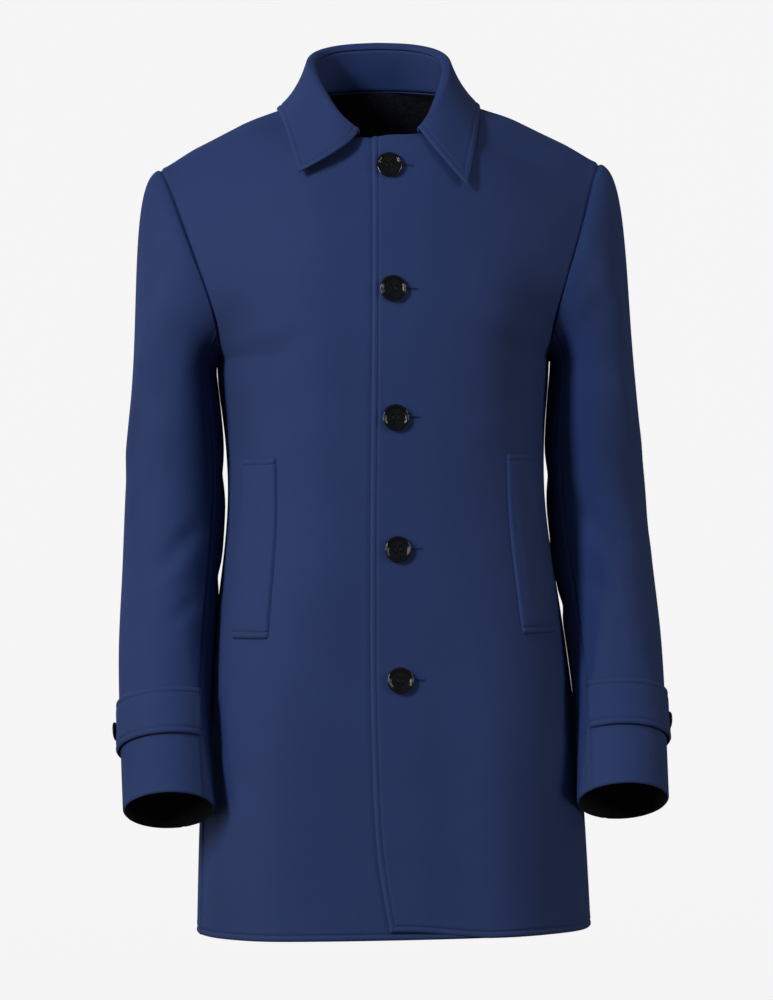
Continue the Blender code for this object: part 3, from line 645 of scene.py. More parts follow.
def front_surface(v, s, side):
    """Face of a front with its creases, on the left side: points and directions out of the cloth."""
    points = body_point(v, s)
    normal = body_normal(v, s)
    lift = crease_lift(FRONT_CREASES[side], points[..., 0], points[..., 2])
    if side == "right":
        distance = s * row_length(v[:, 0])[:, None] + body_point(v, np.zeros_like(s))[..., 0]
        lift = lift - (CLOTH + LAP_GAP) * (1.0 - ease((distance - LAP_END) / LAP_FADE))
    return points + normal * lift[..., None], normal


def on_side(side, *grids):
    return [mirrored(grid) if side == "right" else grid for grid in grids]


def make_front(side):
    heights = spread(SHOULDER, EDGE_STEPS, SEAM_STEPS, BODY_STEP)[0]
    corners = (KNOTS[UNDERARM_FRONT_ROW], NECK_FRONT, NECK_FRONT + NUDGE)
    heights = np.unique(np.concatenate((heights, corners)))
    length = row_length(heights)
    edges = np.array(FRONT_EDGES)
    edge_z = np.clip(body_controls(heights)[:, 0, 2], edges[0, 0], edges[-1, 0])
    past = smooth(edges[:, 0], edges[:, 1:], edge_z)[:, 0 if side == "left" else 1]
    lapped = heights <= NECK_FRONT
    past = np.where(lapped, past, 0.0)
    in_from_edge = spread(length + past, EDGE_STEPS, SEAM_STEPS, BODY_STEP)
    to_seam = (length + past)[:, None] - in_from_edge
    s = (in_from_edge - past[:, None]) / length[:, None]
    v = np.repeat(heights[:, None], s.shape[1], axis=1)
    if side == "left":
        raised = HEM_RAISE * (1.0 - ease((s * length[:, None]) / HEM_RAISE_REACH))
        v = v + raised * (1.0 - ease(v / HEM_RAISE_FADE))
    face, normal = front_surface(v, s, side)
    above_hem = np.repeat(heights[:, None], s.shape[1], axis=1)
    to_edge = np.where(lapped[:, None], np.minimum(in_from_edge, above_hem), above_hem)
    lift = sewn_edge(to_edge) + seam_ditch(to_seam) + seam_ditch(SHOULDER - above_hem)
    lift += np.where(lapped[:, None], 0.0, seam_ditch(in_from_edge))
    lift += np.where(lapped[:, None] & (s < 0.0), rolled_edge(NECK_FRONT - above_hem), 0.0)
    outer = face + normal * lift[..., None]
    inner = face - normal * CLOTH
    outer, inner, up = on_side(side, outer, inner, normal)
    wear = np.exp(-to_edge / WEAR_REACH)
    grain = np.stack((s * length[:, None], v), axis=-1)
    piece = add_shell("front_" + side + "_cloth", outer, inner, grain, wear, backing)
    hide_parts("front_" + side)
    neck_row = int(lapped.sum())
    runs = [(outer[STITCH_STEP, STITCH_STEP:-2], up[STITCH_STEP, STITCH_STEP:-2])]
    runs.append((outer[STITCH_STEP:neck_row, STITCH_STEP], up[STITCH_STEP:neck_row, STITCH_STEP]))
    stitching = add_stitching("front_" + side + "_stitching", runs)
    return piece, stitching


front_left, front_left_stitching = make_front("left")
front_right, front_right_stitching = make_front("right")

# Buttonholes
# Worked in the left front only, level, from behind each button towards the side: a slit bound with close
# stitches of dark thread and closed by a short bar at its end.
BUTTON_X = 0.0034
BUTTON_HEIGHTS = (-0.075, -0.201, -0.331, -0.464, -0.596)
HOLE_START = -0.002
HOLE_END = 0.0252
HOLE_PITCH = 0.00062
HOLE_HALF = 0.00060
HOLE_STITCH = 0.0012
HOLE_RADIUS = 0.00034
HOLE_RISE = 0.0001
HOLE_BAR_RISE = 0.0002
HOLE_BAR_HALF = 1.3 * HOLE_HALF
HOLE_BAR_STITCHES = 5
THREAD_BLACK = (0.0100, 0.0170, 0.0520)
THREAD_NAVY = (0.0140, 0.0240, 0.0740)
dark_thread = sewing_thread("buttonhole_thread", THREAD_BLACK, THREAD_NAVY)


def make_buttonholes():
    centres = []
    ways = []
    ups = []
    for height in BUTTON_HEIGHTS:
        distances = np.arange(HOLE_START, HOLE_END, HOLE_PITCH)
        v, s = front_at(BUTTON_X, height)
        shares = s + distances / row_length([v])[0]
        v = np.full((1, len(shares)), v)
        face, normal = front_surface(v, shares[None], "left")
        line = face[0]
        normal = normal[0]
        along = unit(np.gradient(line, axis=0))
        across = np.cross(normal, along)
        for sign in (-1.0, 1.0):
            centres.append(line + sign * HOLE_HALF * across + HOLE_RISE * normal)
            ways.append(across)
            ups.append(normal)
        bar = line[-1] + np.outer(np.linspace(-1.0, 1.0, HOLE_BAR_STITCHES), HOLE_BAR_HALF * across[-1])
        centres.append(bar + HOLE_BAR_RISE * normal[-1])
        ways.append(np.repeat(along[-1:], HOLE_BAR_STITCHES, axis=0))
        ups.append(np.repeat(normal[-1:], HOLE_BAR_STITCHES, axis=0))
    verts, faces = stitch_mesh(*(np.concatenate(k) for k in (centres, ways, ups)), HOLE_STITCH, HOLE_RADIUS)
    piece = add_mesh("buttonholes", verts, faces, (dark_thread,), np.zeros(len(faces)))


make_buttonholes()

# Back
# One plain panel of the same cloth from the neck and shoulder seams to the topstitched hem, seamed to the
# fronts down the sides and to the sleeves round the armholes.
BACK_CREASES = (
    Crease(0.092, -0.006, 0.234, -0.072, 0.0050, 0.026),
    Crease(-0.092, -0.006, -0.234, -0.072, 0.0050, 0.026),
    Crease(0.000, -0.330, 0.004, -1.020, -0.0030, 0.034),
    Crease(0.078, -0.420, 0.090, -1.000, 0.0032, 0.030),
    Crease(0.140, -0.520, 0.150, -0.990, -0.0028, 0.021),
    Crease(0.184, -0.600, 0.192, -1.000, 0.0018, 0.014),
    Crease(-0.066, -0.460, -0.074, -1.020, 0.0030, 0.026),
    Crease(-0.128, -0.500, -0.142, -1.010, -0.0026, 0.024),
    Crease(-0.182, -0.580, -0.190, -0.990, 0.0018, 0.014),
    Crease(0.172, -0.180, 0.118, -0.400, -0.0030, 0.020),
    Crease(-0.170, -0.200, -0.124, -0.380, -0.0026, 0.018),
    Crease(0.130, -0.140, 0.060, -0.240, 0.0016, 0.026),
    Crease(-0.124, -0.160, -0.070, -0.260, 0.0014, 0.028),
    Crease(0.120, -0.380, -0.020, -0.412, -0.0012, 0.013),
    Crease(-0.130, -0.402, 0.010, -0.372, -0.0010, 0.012),
)


def make_back():
    panel = KNOTS[-1] - SHOULDER
    heights = SHOULDER + spread(panel, SEAM_STEPS, EDGE_STEPS, BODY_STEP)[0]
    heights = np.unique(np.concatenate((heights, (KNOTS[UNDERARM_BACK_ROW], NECK_BACK))))
    length = row_length(heights)
    from_middle = spread(length, (0.0,), SEAM_STEPS, BODY_STEP)
    to_seam = length[:, None] - from_middle
    s = from_middle / length[:, None]
    v = np.repeat(heights[:, None], s.shape[1], axis=1)
    points = body_point(v, s)
    normal = body_normal(v, s)
    above_hem = KNOTS[-1] - v
    necked = heights < NECK_BACK
    lift = sewn_edge(above_hem) + seam_ditch(to_seam) + seam_ditch(v - SHOULDER)
    lift += np.where(necked[:, None], seam_ditch(from_middle), 0.0)
    halves = []
    for sign in (-1.0, 1.0):
        crease = crease_lift(BACK_CREASES, sign * points[..., 0], points[..., 2])
        outer = points + normal * (lift + crease)[..., None]
        inner = points + normal * (crease - CLOTH)[..., None]
        grids = [outer, inner, normal]
        if sign < 0.0:
            grids = [mirrored(grid)[:, ::-1] for grid in grids]
        halves.append(grids)
    outer, inner, up = (np.concatenate((right, left), axis=1) for right, left in zip(*halves))
    columns = s.shape[1]
    index = np.arange(outer.shape[0] * 2 * columns).reshape(-1, 2 * columns)
    shared = index[:, :columns].copy()
    shared[~necked, -1] = index[~necked, columns]
    across = np.concatenate((-from_middle[:, ::-1], from_middle), axis=1)
    grain = np.stack((across, np.repeat(heights[:, None], 2 * columns, axis=1)), axis=-1)
    wear = np.exp(-np.repeat((KNOTS[-1] - heights)[:, None], 2 * columns, axis=1) / WEAR_REACH)
    piece = add_shell("back_cloth", outer, inner, grain, wear, backing, (shared, index[:, columns:]))
    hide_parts("back")
    row = outer.shape[0] - 1 - STITCH_STEP
    hem = np.concatenate((outer[row, 2:columns], outer[row, columns + 1:-2]))
    hem_up = np.concatenate((up[row, 2:columns], up[row, columns + 1:-2]))
    stitching = add_stitching("back_stitching", [(hem, hem_up)])


make_back()

# Sleeves
# Two-piece set-in sleeves of the same cloth: a top half and an under half seamed along the forearm and the
# back of the arm, eased into the armhole; the cuff edge is turned in without stitching that shows.
Tube = namedtuple("Tube", "x y z half_x half_y tilt")
SLEEVE_RINGS = (
    Tube(0.2165, 0.012, -0.285, 0.0440, 0.072, 0),
    Tube(0.2162, 0.014, -0.340, 0.0488, 0.069, 1),
    Tube(0.2184, 0.012, -0.415, 0.0521, 0.063, 4),
    Tube(0.2234, -0.002, -0.485, 0.0511, 0.058, 9),
    Tube(0.2295, -0.025, -0.555, 0.0495, 0.054, 14),
    Tube(0.2328, -0.053, -0.635, 0.0468, 0.0505, 19),
    Tube(0.2310, -0.088, -0.725, 0.0470, 0.049, 26),
)
CUFF_SWING = {"left": 0.0005, "right": 0.0000}
CAP_LEAVE = 0.14
CAP_ARRIVE = 0.45
FOREARM_TURN = 138.85
HINDARM_TURN = -108.6
ARM_RADIUS = 0.053
CAP_LENGTH = 0.20
SLEEVE_STEP = 0.0042
BESIDE = 0.4
CAP_TURN = 0.012
ARMHOLE_SAMPLES = 900
SLEEVE_SLACK = 1.5
FOLD_CAP_FADE = 0.03
FOLD_SEAM_FADE = 0.012
FOLD_AT_SEAM = 0.25

# Sleeve creases: angle and way down the arm of both ends, height and half width
Fold = namedtuple("Fold", "turn0 down0 turn1 down1 lift width")
SLEEVE_FOLDS = {
    "left": (
        Fold(72, -0.130, 38, -0.020, 0.0022, 0.013),
        Fold(96, -0.110, 62, 0.020, -0.0020, 0.016),
        Fold(78, -0.010, 18, 0.100, 0.0026, 0.015),
        Fold(60, 0.080, 10, 0.190, -0.0016, 0.018),
        Fold(128, 0.130, 62, 0.205, -0.0022, 0.011),
        Fold(124, 0.178, 50, 0.232, 0.0016, 0.012),
        Fold(130, 0.215, 74, 0.262, -0.0018, 0.010),
        Fold(60, 0.230, 30, 0.340, -0.0012, 0.016),
        Fold(-40, -0.060, -100, 0.060, -0.0022, 0.016),
        Fold(-30, 0.080, -90, 0.170, 0.0022, 0.016),
        Fold(-60, 0.200, -120, 0.250, -0.0020, 0.013),
        Fold(-150, 0.080, -215, 0.150, -0.0022, 0.014),
        Fold(-150, 0.180, -210, 0.215, 0.0016, 0.012),
        Fold(-140, 0.250, -220, 0.235, -0.0018, 0.012),
    ),
    "right": (
        Fold(76, -0.110, 26, 0.020, 0.0022, 0.014),
        Fold(34, -0.010, 2, 0.110, 0.0018, 0.014),
        Fold(98, -0.080, 58, 0.060, -0.0020, 0.018),
        Fold(74, 0.090, 20, 0.170, -0.0012, 0.016),
        Fold(126, 0.150, 68, 0.212, -0.0022, 0.012),
        Fold(122, 0.190, 56, 0.245, 0.0014, 0.012),
        Fold(130, 0.232, 84, 0.276, -0.0016, 0.010),
        Fold(70, 0.250, 40, 0.330, 0.0010, 0.015),
        Fold(-36, -0.050, -96, 0.080, -0.0024, 0.015),
        Fold(-40, 0.100, -95, 0.190, 0.0020, 0.017),
        Fold(-64, 0.215, -118, 0.240, -0.0018, 0.012),
        Fold(-145, 0.060, -210, 0.130, -0.0020, 0.014),
        Fold(-150, 0.190, -212, 0.225, -0.0018, 0.012),
    ),
}


def sleeve_table(swing):
    rings = np.array(SLEEVE_RINGS)
    along = running_length(rings[:, :3])
    rings[:, 0] += swing * ease(along / along[-1])
    return along, rings


def tube_points(along, turns, swing):
    """Points of the sleeve below its cap, by way down the arm and angle."""
    along, turns = np.broadcast_arrays(np.asarray(along, float), np.asarray(turns, float))
    knots, rings = sleeve_table(swing)
    x, y, z, half_x, half_y, tilt = smooth(knots, rings, along.ravel()).T.reshape((6,) + along.shape)
    deep = -half_y * np.sin(np.radians(turns))
    tilt = np.radians(tilt)
    wide = half_x * np.cos(np.radians(turns))
    return np.stack((x + wide, y + deep * np.cos(tilt), z - deep * np.sin(tilt)), axis=-1)


def armhole(turns):
    """Armhole points and directions out of the body by angle: 180 at the underarm, 90 in front, 0 on top."""
    fine = np.linspace(KNOTS[UNDERARM_FRONT_ROW], KNOTS[UNDERARM_BACK_ROW], ARMHOLE_SAMPLES)
    length = running_length(body_point(fine, np.ones(len(fine))))
    top = np.interp(SHOULDER, fine, length)
    angle = np.where(length < top, 180.0 * (1.0 - length / top), -180.0 * (length - top) / (length[-1] - top))
    turns = np.where(turns < -180.0, turns + 360.0, turns)
    heights = np.interp(-turns, -angle, fine)
    return body_point(heights, np.ones(len(turns))), body_normal(heights, np.ones(len(turns)))


def grid_normals(grid):
    return unit(np.cross(np.gradient(grid, axis=0), np.gradient(grid, axis=1)))


def sleeve_surface(turns, swing):
    """Grid of the sleeve from armhole to cuff, and the way down the arm of each row."""
    starts, normals = armhole(turns)
    knots, _ = sleeve_table(swing)
    ring = tube_points(0.0, turns, swing)
    below = tube_points(NUDGE, turns, swing)
    angle = np.radians(turns)
    radial = np.stack((np.cos(angle), -np.sin(angle), np.zeros(len(turns))), axis=1)
    outward = ((1.0 + np.cos(angle)) / 2.0)[:, None]
    leave = unit(outward * radial + (1.0 - outward) * np.array((0.0, 0.0, -1.0)))
    reach = np.linalg.norm(ring - starts, axis=1, keepdims=True)
    controls = np.stack((
        starts,
        starts + CAP_LEAVE * reach * leave,
        ring - CAP_ARRIVE * reach * unit(below - ring),
        ring,
    ), axis=1)
    shares = spread(CAP_LENGTH, SEAM_STEPS, (0.0,), SLEEVE_STEP)[0][:-1] / CAP_LENGTH
    cap = np.stack([bezier(controls, np.full(len(turns), share)) for share in shares])
    down = spread(knots[-1], (0.0,), SEAM_STEPS, SLEEVE_STEP)[0]
    tube = tube_points(down[:, None], turns[None, :], swing)
    return np.vstack((cap, tube)), np.concatenate(((shares - 1.0) * CAP_LENGTH, down)), normals


def across_lengths(grid):
    """Length along each row of a grid from its first column."""
    steps = np.linalg.norm(np.diff(grid, axis=1), axis=2)
    return np.hstack((np.zeros((len(grid), 1)), np.cumsum(steps, axis=1)))


def down_lengths(grid):
    return across_lengths(grid.transpose(1, 0, 2)).T


def make_sleeve_half(kind, side, first_turn, last_turn):
    swing = CUFF_SWING[side]
    arc = math.radians(first_turn - last_turn) * ARM_RADIUS
    turns = first_turn - np.degrees(spread(arc, SEAM_STEPS, SEAM_STEPS, SLEEVE_STEP)[0] / ARM_RADIUS)
    beside = np.concatenate((turns[:1] + BESIDE, turns, turns[-1:] - BESIDE))
    surface, down, body_up = sleeve_surface(beside, swing)
    normal = grid_normals(surface)[:, 1:-1]
    surface = surface[:, 1:-1]
    across = across_lengths(surface)
    from_armhole = down_lengths(surface)
    near_body = 1.0 - ease(from_armhole / CAP_TURN)[..., None]
    normal = unit(near_body * body_up[1:-1] + (1.0 - near_body) * normal)
    to_first = across
    to_last = across[:, -1:] - across
    to_cuff = from_armhole[-1:] - from_armhole
    folds = []
    for fold in SLEEVE_FOLDS[side]:
        around = np.radians((fold.turn0, fold.turn1)) * ARM_RADIUS
        folds.append(Crease(around[0], fold.down0, around[1], fold.down1, fold.lift, fold.width))
    crease = SLEEVE_SLACK * crease_lift(folds, np.radians(turns)[None, :] * ARM_RADIUS, down[:, None])
    crease = crease * ease(from_armhole / FOLD_CAP_FADE)
    crease = crease * ease(np.minimum(to_first, to_last) / FOLD_SEAM_FADE + FOLD_AT_SEAM)
    lift = seam_ditch(from_armhole) + seam_ditch(to_first) + seam_ditch(to_last) + rolled_edge(to_cuff)
    outer = surface + normal * (lift + crease)[..., None]
    inner = surface + normal * (crease - CLOTH)[..., None]
    outer, inner = on_side(side, outer, inner)
    grain = np.stack((np.broadcast_to(np.radians(turns) * ARM_RADIUS, across.shape), from_armhole), axis=-1)
    wear = np.exp(-to_cuff / WEAR_REACH)
    name = "sleeve_" + kind + "_" + side
    piece = add_shell(name + "_cloth", outer, inner, grain, wear, backing)
    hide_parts(name)


for side in ("left", "right"):
    make_sleeve_half("top", side, FOREARM_TURN, HINDARM_TURN)
    make_sleeve_half("under", side, HINDARM_TURN, FOREARM_TURN - 360.0)

# Collar
# A turn-down collar: a low stand sewn to the neck seam and a fall that rolls over it, both of two layers
# of the cloth with a stiffener.  The leaves stand a little off the chest and are topstitched all round.
Stand = namedtuple("Stand", "along height roll turn bulge")
COLLAR_STAND = (
    Stand(0.00, 0.0006, 0.0018, 152, 0.30),
    Stand(0.14, 0.015, 0.0040, 152, 0.30),
    Stand(0.34, 0.028, 0.0044, 170, 0.44),
    Stand(0.56, 0.038, 0.0042, 182, 0.54),
    Stand(1.00, 0.044, 0.0042, 182, 0.54),
)
COLLAR_CLOTH = 0.003
COLLAR_STITCH = 0.65
STAND_LEAN = 19
STAND_ROWS = 14
COLLAR_FRONT_X = {"left": 0.0345, "right": 0.0255}
NECK_SAMPLES = 900
FOLD_STEPS = 14
FOLD_GAP = 0.0008
FOOT_GAP = 0.0008
LEAF_SAMPLES = 120
LEAF_STEP = 0.0036
LINE_STEP = 0.0003
LEAF_LIFTS = {
    "left": (0.0075, 0.0040, 0.0019, 0.0028, 0.0034, 0.0034),
    "right": (0.0110, 0.0044, 0.0019, 0.0028, 0.0034, 0.0034),
}
LEAF_STAND_OFF = {"left": 0.010, "right": 0.016}
LEAF_STAND_END = 0.16
Fall = namedtuple("Fall", "along x y")
COLLAR_FALL = (
    Fall(0.44, 0.1035, 0.008),
    Fall(0.62, 0.0970, 0.058),
    Fall(0.80, 0.0550, 0.079),
    Fall(1.00, 0.0000, 0.079),
)
LEAF_POINTS = {"left": (0.080, -0.099), "right": (0.086, -0.084)}
COLLAR_CLOSE = 0.075
COLLAR_CLOSE_COLUMNS = 30
COLLAR_WIDE_COLUMNS = 74
COLLAR_ALONG = np.concatenate((
    np.linspace(0.0, COLLAR_CLOSE, COLLAR_CLOSE_COLUMNS),
    np.linspace(COLLAR_CLOSE, 1.0, COLLAR_WIDE_COLUMNS)[1:],
))


def neck_columns(side):
    """Neck seam of the left half from the collar's front end to the centre back."""
    fine = np.linspace(NECK_FRONT, NECK_BACK, NECK_SAMPLES)
    seam = body_point(fine, np.zeros(NECK_SAMPLES))
    length = running_length(seam)
    start = length[np.argmax(seam[:, 0] >= COLLAR_FRONT_X[side])]
    at = start + COLLAR_ALONG * (length[-1] - start)
    points = body_point(np.interp(at, length, fine), np.zeros(len(at)))
    points[-1, 0] = 0.0
    way = np.gradient(points, at, axis=0)
    way[-1] = (-1.0, 0.0, 0.0)
    flat = unit(way * np.array((1.0, 1.0, 0.0)))
    return points, np.stack((flat[:, 1], -flat[:, 0], np.zeros(len(flat))), axis=1)


def collar_edge(side):
    """Outer edge of half the collar, lifted off the body: from the leaf's point round to the back."""
    over_back = (SHOULDER, KNOTS[NECK_BACK_ROW + 1])
    places = [place_at((fall.x, fall.y), (0, 1), *over_back) for fall in COLLAR_FALL]
    leaf = np.array(LEAF_POINTS[side])
    half_way = (leaf + body_point(*places[0])[[0, 2]]) / 2
    v, s = np.array([front_at(*leaf), front_at(*half_way), *places]).T
    anchors = body_point(v, s) + np.array(LEAF_LIFTS[side])[:, None] * body_normal(v, s)
    stops = np.array([0.0, COLLAR_FALL[0].along / 2] + [fall.along for fall in COLLAR_FALL])
    anchors = np.vstack((anchors, mirrored(anchors[-2::-1])))
    stops = np.concatenate((stops, 2.0 - stops[-2::-1]))
    return smooth(stops, anchors, COLLAR_ALONG)


def collar_half(side):
    """Stand and fall of half a collar as grids of mid points."""
    neck, outward = neck_columns(side)
    table = np.array(COLLAR_STAND)
    height, roll, turn, bulge = np.split(smooth(table[:, 0], table[:, 1:], COLLAR_ALONG), 4, axis=1)
    up = np.array((0.0, 0.0, 1.0))
    lean = math.radians(STAND_LEAN)
    rise = math.cos(lean) * up - math.sin(lean) * outward
    across = math.cos(lean) * outward + math.sin(lean) * up
    foot = neck + FOOT_GAP * up
    stand = np.stack([foot + share * height * rise for share in np.linspace(0.0, 1.0, STAND_ROWS + 1)])
    fold = stand[-1] + FOLD_GAP * rise
    turns = np.radians(np.linspace(0.0, 1.0, FOLD_STEPS + 1)[:, None, None] * turn)
    rolled = fold + roll * ((1 - np.cos(turns)) * across + np.sin(turns) * rise)
    leaving = np.sin(turns[-1]) * across + np.cos(turns[-1]) * rise
    edge = collar_edge(side)
    reach = np.linalg.norm(edge - rolled[-1], axis=1, keepdims=True)
    bend = rolled[-1] + bulge * reach * leaving
    bend[:, 1] -= LEAF_STAND_OFF[side] * ease(1.0 - COLLAR_ALONG / LEAF_STAND_END)
    share = np.linspace(0.0, 1.0, LEAF_SAMPLES)[:, None, None]
    trail = (1 - share) ** 2 * rolled[-1] + 2 * share * (1 - share) * bend + share ** 2 * edge
    length = down_lengths(trail)[-1]
    distances = spread(length, (0.0,), EDGE_STEPS, LEAF_STEP)
    leaf = np.stack([resample(trail[:, k], distances[k]) for k in range(len(length))], axis=1)
    return stand, np.vstack((rolled, leaf[1:]))


def away_from(grid, line):
    """Distance of every grid point from a line."""
    length = running_length(line)[-1]
    dense = resample(line, np.arange(0.0, length, LINE_STEP))
    tree = kdtree.KDTree(len(dense))
    for k, point in enumerate(dense):
        tree.insert(point, k)
    tree.balance()
    return np.array([tree.find(point)[2] for point in grid.reshape(-1, 3)]).reshape(grid.shape[:2])


def level_line(grid, normals, distance, level):
    """Line across a grid's rows where the distance from their first column first reaches a level."""
    line = []
    ups = []
    for points, up, away in zip(grid, normals, distance):
        k = int(np.argmax(away >= level))
        share = (level - away[k - 1]) / (away[k] - away[k - 1])
        line.append(points[k - 1] + share * (points[k] - points[k - 1]))
        ups.append(up[k])
    return np.array(line), np.array(ups)


def make_collar():
    left_stand, left_fall = collar_half("left")
    right_stand, right_fall = collar_half("right")
    stand = np.concatenate((left_stand[:, :-1], mirrored(right_stand)[:, ::-1]), axis=1)
    fall = np.concatenate((left_fall[:, :-1], mirrored(right_fall)[:, ::-1]), axis=1)
    normal = grid_normals(stand)
    half = COLLAR_CLOTH / 2
    grain = np.stack((across_lengths(stand), down_lengths(stand)), axis=-1)
    piece = add_shell("collar_stand_cloth", stand + half * normal, stand - half * normal, grain,
                      np.zeros(stand.shape[:2]), cloth_face)
    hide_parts("collar_stand")
    normal = grid_normals(fall)
    to_outer = away_from(fall, fall[-1])
    to_left = away_from(fall, fall[:, 0])
    to_right = away_from(fall, fall[:, -1])
    to_edge = np.minimum(to_outer, np.minimum(to_left, to_right))
    outer = fall + normal * (half + COLLAR_STITCH * sewn_edge(to_edge))[..., None]
    inner = fall - normal * (half + rolled_edge(to_edge) / 2)[..., None]
    grain = np.stack((across_lengths(fall), down_lengths(fall)), axis=-1)
    wear = np.exp(-to_edge / WEAR_REACH)
    piece = add_shell("collar_fall_cloth", outer, inner, grain, wear, cloth_face)
    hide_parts("collar_fall")
    row = len(fall) - 1 - STITCH_STEP
    inside = np.minimum(to_left[row], to_right[row]) >= STITCH_IN
    runs = [(outer[row, inside], normal[row, inside])]
    span = slice(FOLD_STEPS, row + 1)
    runs.append(level_line(outer[span], normal[span], to_left[span], STITCH_IN))
    back = slice(None, None, -1)
    runs.append(level_line(outer[span, back], normal[span, back], to_right[span, back], STITCH_IN))
    stitching = add_stitching("collar_stitching", runs)


make_collar()

# Pocket welts
# Upright welts of doubled cloth laid on the fronts, sewn along the side nearest the middle and with a row of
# stitches at both ends; the side towards the side seam is the folded, free edge.
WELT_CLOTH = 0.0024
APPLIED_GAP = 0.0005
WELT_TOP = (0.117, -0.370)
WELT_BOTTOM = (0.1285, -0.552)
WELT_WIDTH = 0.052
WELT_STEP = 0.0032
WELT_SWELL = 0.0014
WELT_CROWN = 0.016
WELT_ROOT = 0.0022


def make_welt(side):
    top = front_at(*WELT_TOP)
    bottom = front_at(*WELT_BOTTOM)
    up_from_end = spread(top[0] - bottom[0], EDGE_STEPS, EDGE_STEPS, WELT_STEP)[0]
    out_from_seam = spread(WELT_WIDTH, EDGE_STEPS, EDGE_STEPS, WELT_STEP)[0]
    heights = bottom[0] + up_from_end
    seam_s = np.interp(heights, (bottom[0], top[0]), (bottom[1], top[1]))
    s = seam_s[:, None] + out_from_seam[None, :] / row_length(heights)[:, None]
    v = np.repeat(heights[:, None], s.shape[1], axis=1)
    face, normal = front_surface(v, s, side)
    to_end = np.minimum(up_from_end, up_from_end[-1] - up_from_end)[:, None]
    to_free = (WELT_WIDTH - out_from_seam)[None, :]
    to_seam = out_from_seam[None, :]
    swell = WELT_SWELL * ease(to_end / WELT_CROWN) * ease(to_seam / WELT_CROWN)
    sunk = WELT_CLOTH * (1.0 - ease(to_seam / WELT_ROOT))
    lift = sewn_edge(to_end) + swell + rolled_edge(to_free) - sunk
    outer = face + normal * (APPLIED_GAP + WELT_CLOTH + lift)[..., None]
    inner = face + normal * APPLIED_GAP
    outer, inner, up = on_side(side, outer, inner, normal)
    grain = np.stack((s, v), axis=-1) * np.array((row_length(heights).mean(), 1.0))
    wear = np.exp(-np.minimum(to_end, to_free) / WEAR_REACH)
    piece = add_shell("pocket_welt_" + side + "_cloth", outer, inner, grain, wear, cloth_face)
    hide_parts("pocket_welt_" + side)
    last = len(heights) - 1 - STITCH_STEP
    free = len(out_from_seam) - 2
    runs = [
        (outer[STITCH_STEP, STITCH_STEP:free], up[STITCH_STEP, STITCH_STEP:free]),
        (outer[last, STITCH_STEP:free], up[last, STITCH_STEP:free]),
    ]
    stitching = add_stitching("pocket_welt_" + side + "_stitching", runs)


for side in ("left", "right"):
    make_welt(side)

# Cuff tabs
# Straps of doubled cloth let into the forearm seam and wrapped round the outside of the cuff, with a rounded
# free end under the button; topstitched round their edges, the lower edge standing slightly off the sleeve.
TAB_LOW = 0.0635
TAB_HIGH = 0.1160
TAB_TILT = 0.004
TAB_START = FOREARM_TURN - 1.5
TAB_END = -40
TAB_ROUND = 0.013
TAB_ROUND_MOST = 0.9 * TAB_ROUND
TAB_STEP = 0.0032
TAB_SAMPLES = 200
TAB_FLARE = 0.0016
TAB_FLARE_WIDTH = 0.022
TAB_FLARE_START = 0.03
TAB_SWELL = 0.0008
TAB_CROWN = 0.016
TURN_NUDGE = 0.5


def make_cuff_tab(side):
    swing = CUFF_SWING[side]
    knots, _ = sleeve_table(swing)
    line_turns = np.linspace(TAB_START, TAB_END, TAB_SAMPLES)
    length = running_length(tube_points(knots[-1] - (TAB_LOW + TAB_HIGH) / 2, line_turns, swing))
    from_seam = spread(length[-1], SEAM_STEPS, EDGE_STEPS, TAB_STEP)[0]
    turns = np.interp(from_seam, length, line_turns)
    to_tip = length[-1] - from_seam
    cut = np.clip(TAB_ROUND - to_tip, 0.0, TAB_ROUND)
    cut = TAB_ROUND - np.sqrt(TAB_ROUND ** 2 - cut ** 2)
    cut = np.minimum(cut, TAB_ROUND_MOST)
    width = TAB_HIGH - TAB_LOW
    share = spread(width, EDGE_STEPS, EDGE_STEPS, TAB_STEP)[0][:, None] / width
    above = cut + (width - 2.0 * cut) * share
    height = TAB_LOW + TAB_TILT * turns / TAB_START + above
    turn_grid = np.broadcast_to(turns, height.shape)
    face = tube_points(knots[-1] - height, turn_grid, swing)
    around = tube_points(knots[-1] - height, turn_grid + TURN_NUDGE, swing) - face
    below = tube_points(knots[-1] - height + NUDGE, turn_grid, swing) - face
    normal = unit(np.cross(around, below))
    rim = np.concatenate((face[0], face[1:-1, -1], face[-1, ::-1]))
    to_edge = away_from(face, rim)
    flare = TAB_FLARE * ease(1.0 - above / TAB_FLARE_WIDTH) * ease(from_seam / TAB_FLARE_START)
    lift = sewn_edge(to_edge) + TAB_SWELL * ease(to_edge / TAB_CROWN) + seam_ditch(from_seam)[None, :]
    outer = face + normal * (APPLIED_GAP + WELT_CLOTH + lift + flare)[..., None]
    inner = face + normal * (APPLIED_GAP + flare)[..., None]
    outer, inner, up = on_side(side, outer, inner, normal)
    grain = np.stack((np.broadcast_to(from_seam, height.shape), height), axis=-1)
    wear = np.exp(-to_edge / WEAR_REACH)
    piece = add_shell("cuff_tab_" + side + "_cloth", outer, inner, grain, wear, cloth_face)
    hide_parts("cuff_tab_" + side)
    last = len(share) - 1 - STITCH_STEP
    end = len(turns) - 1 - STITCH_STEP
    runs = [
        (outer[STITCH_STEP, 2:end + 1], up[STITCH_STEP, 2:end + 1]),
        (outer[last, 2:end + 1], up[last, 2:end + 1]),
        (outer[STITCH_STEP:last + 1, end], up[STITCH_STEP:last + 1, end]),
    ]
    stitching = add_stitching("cuff_tab_" + side + "_stitching", runs)


for side in ("left", "right"):
    make_cuff_tab(side)

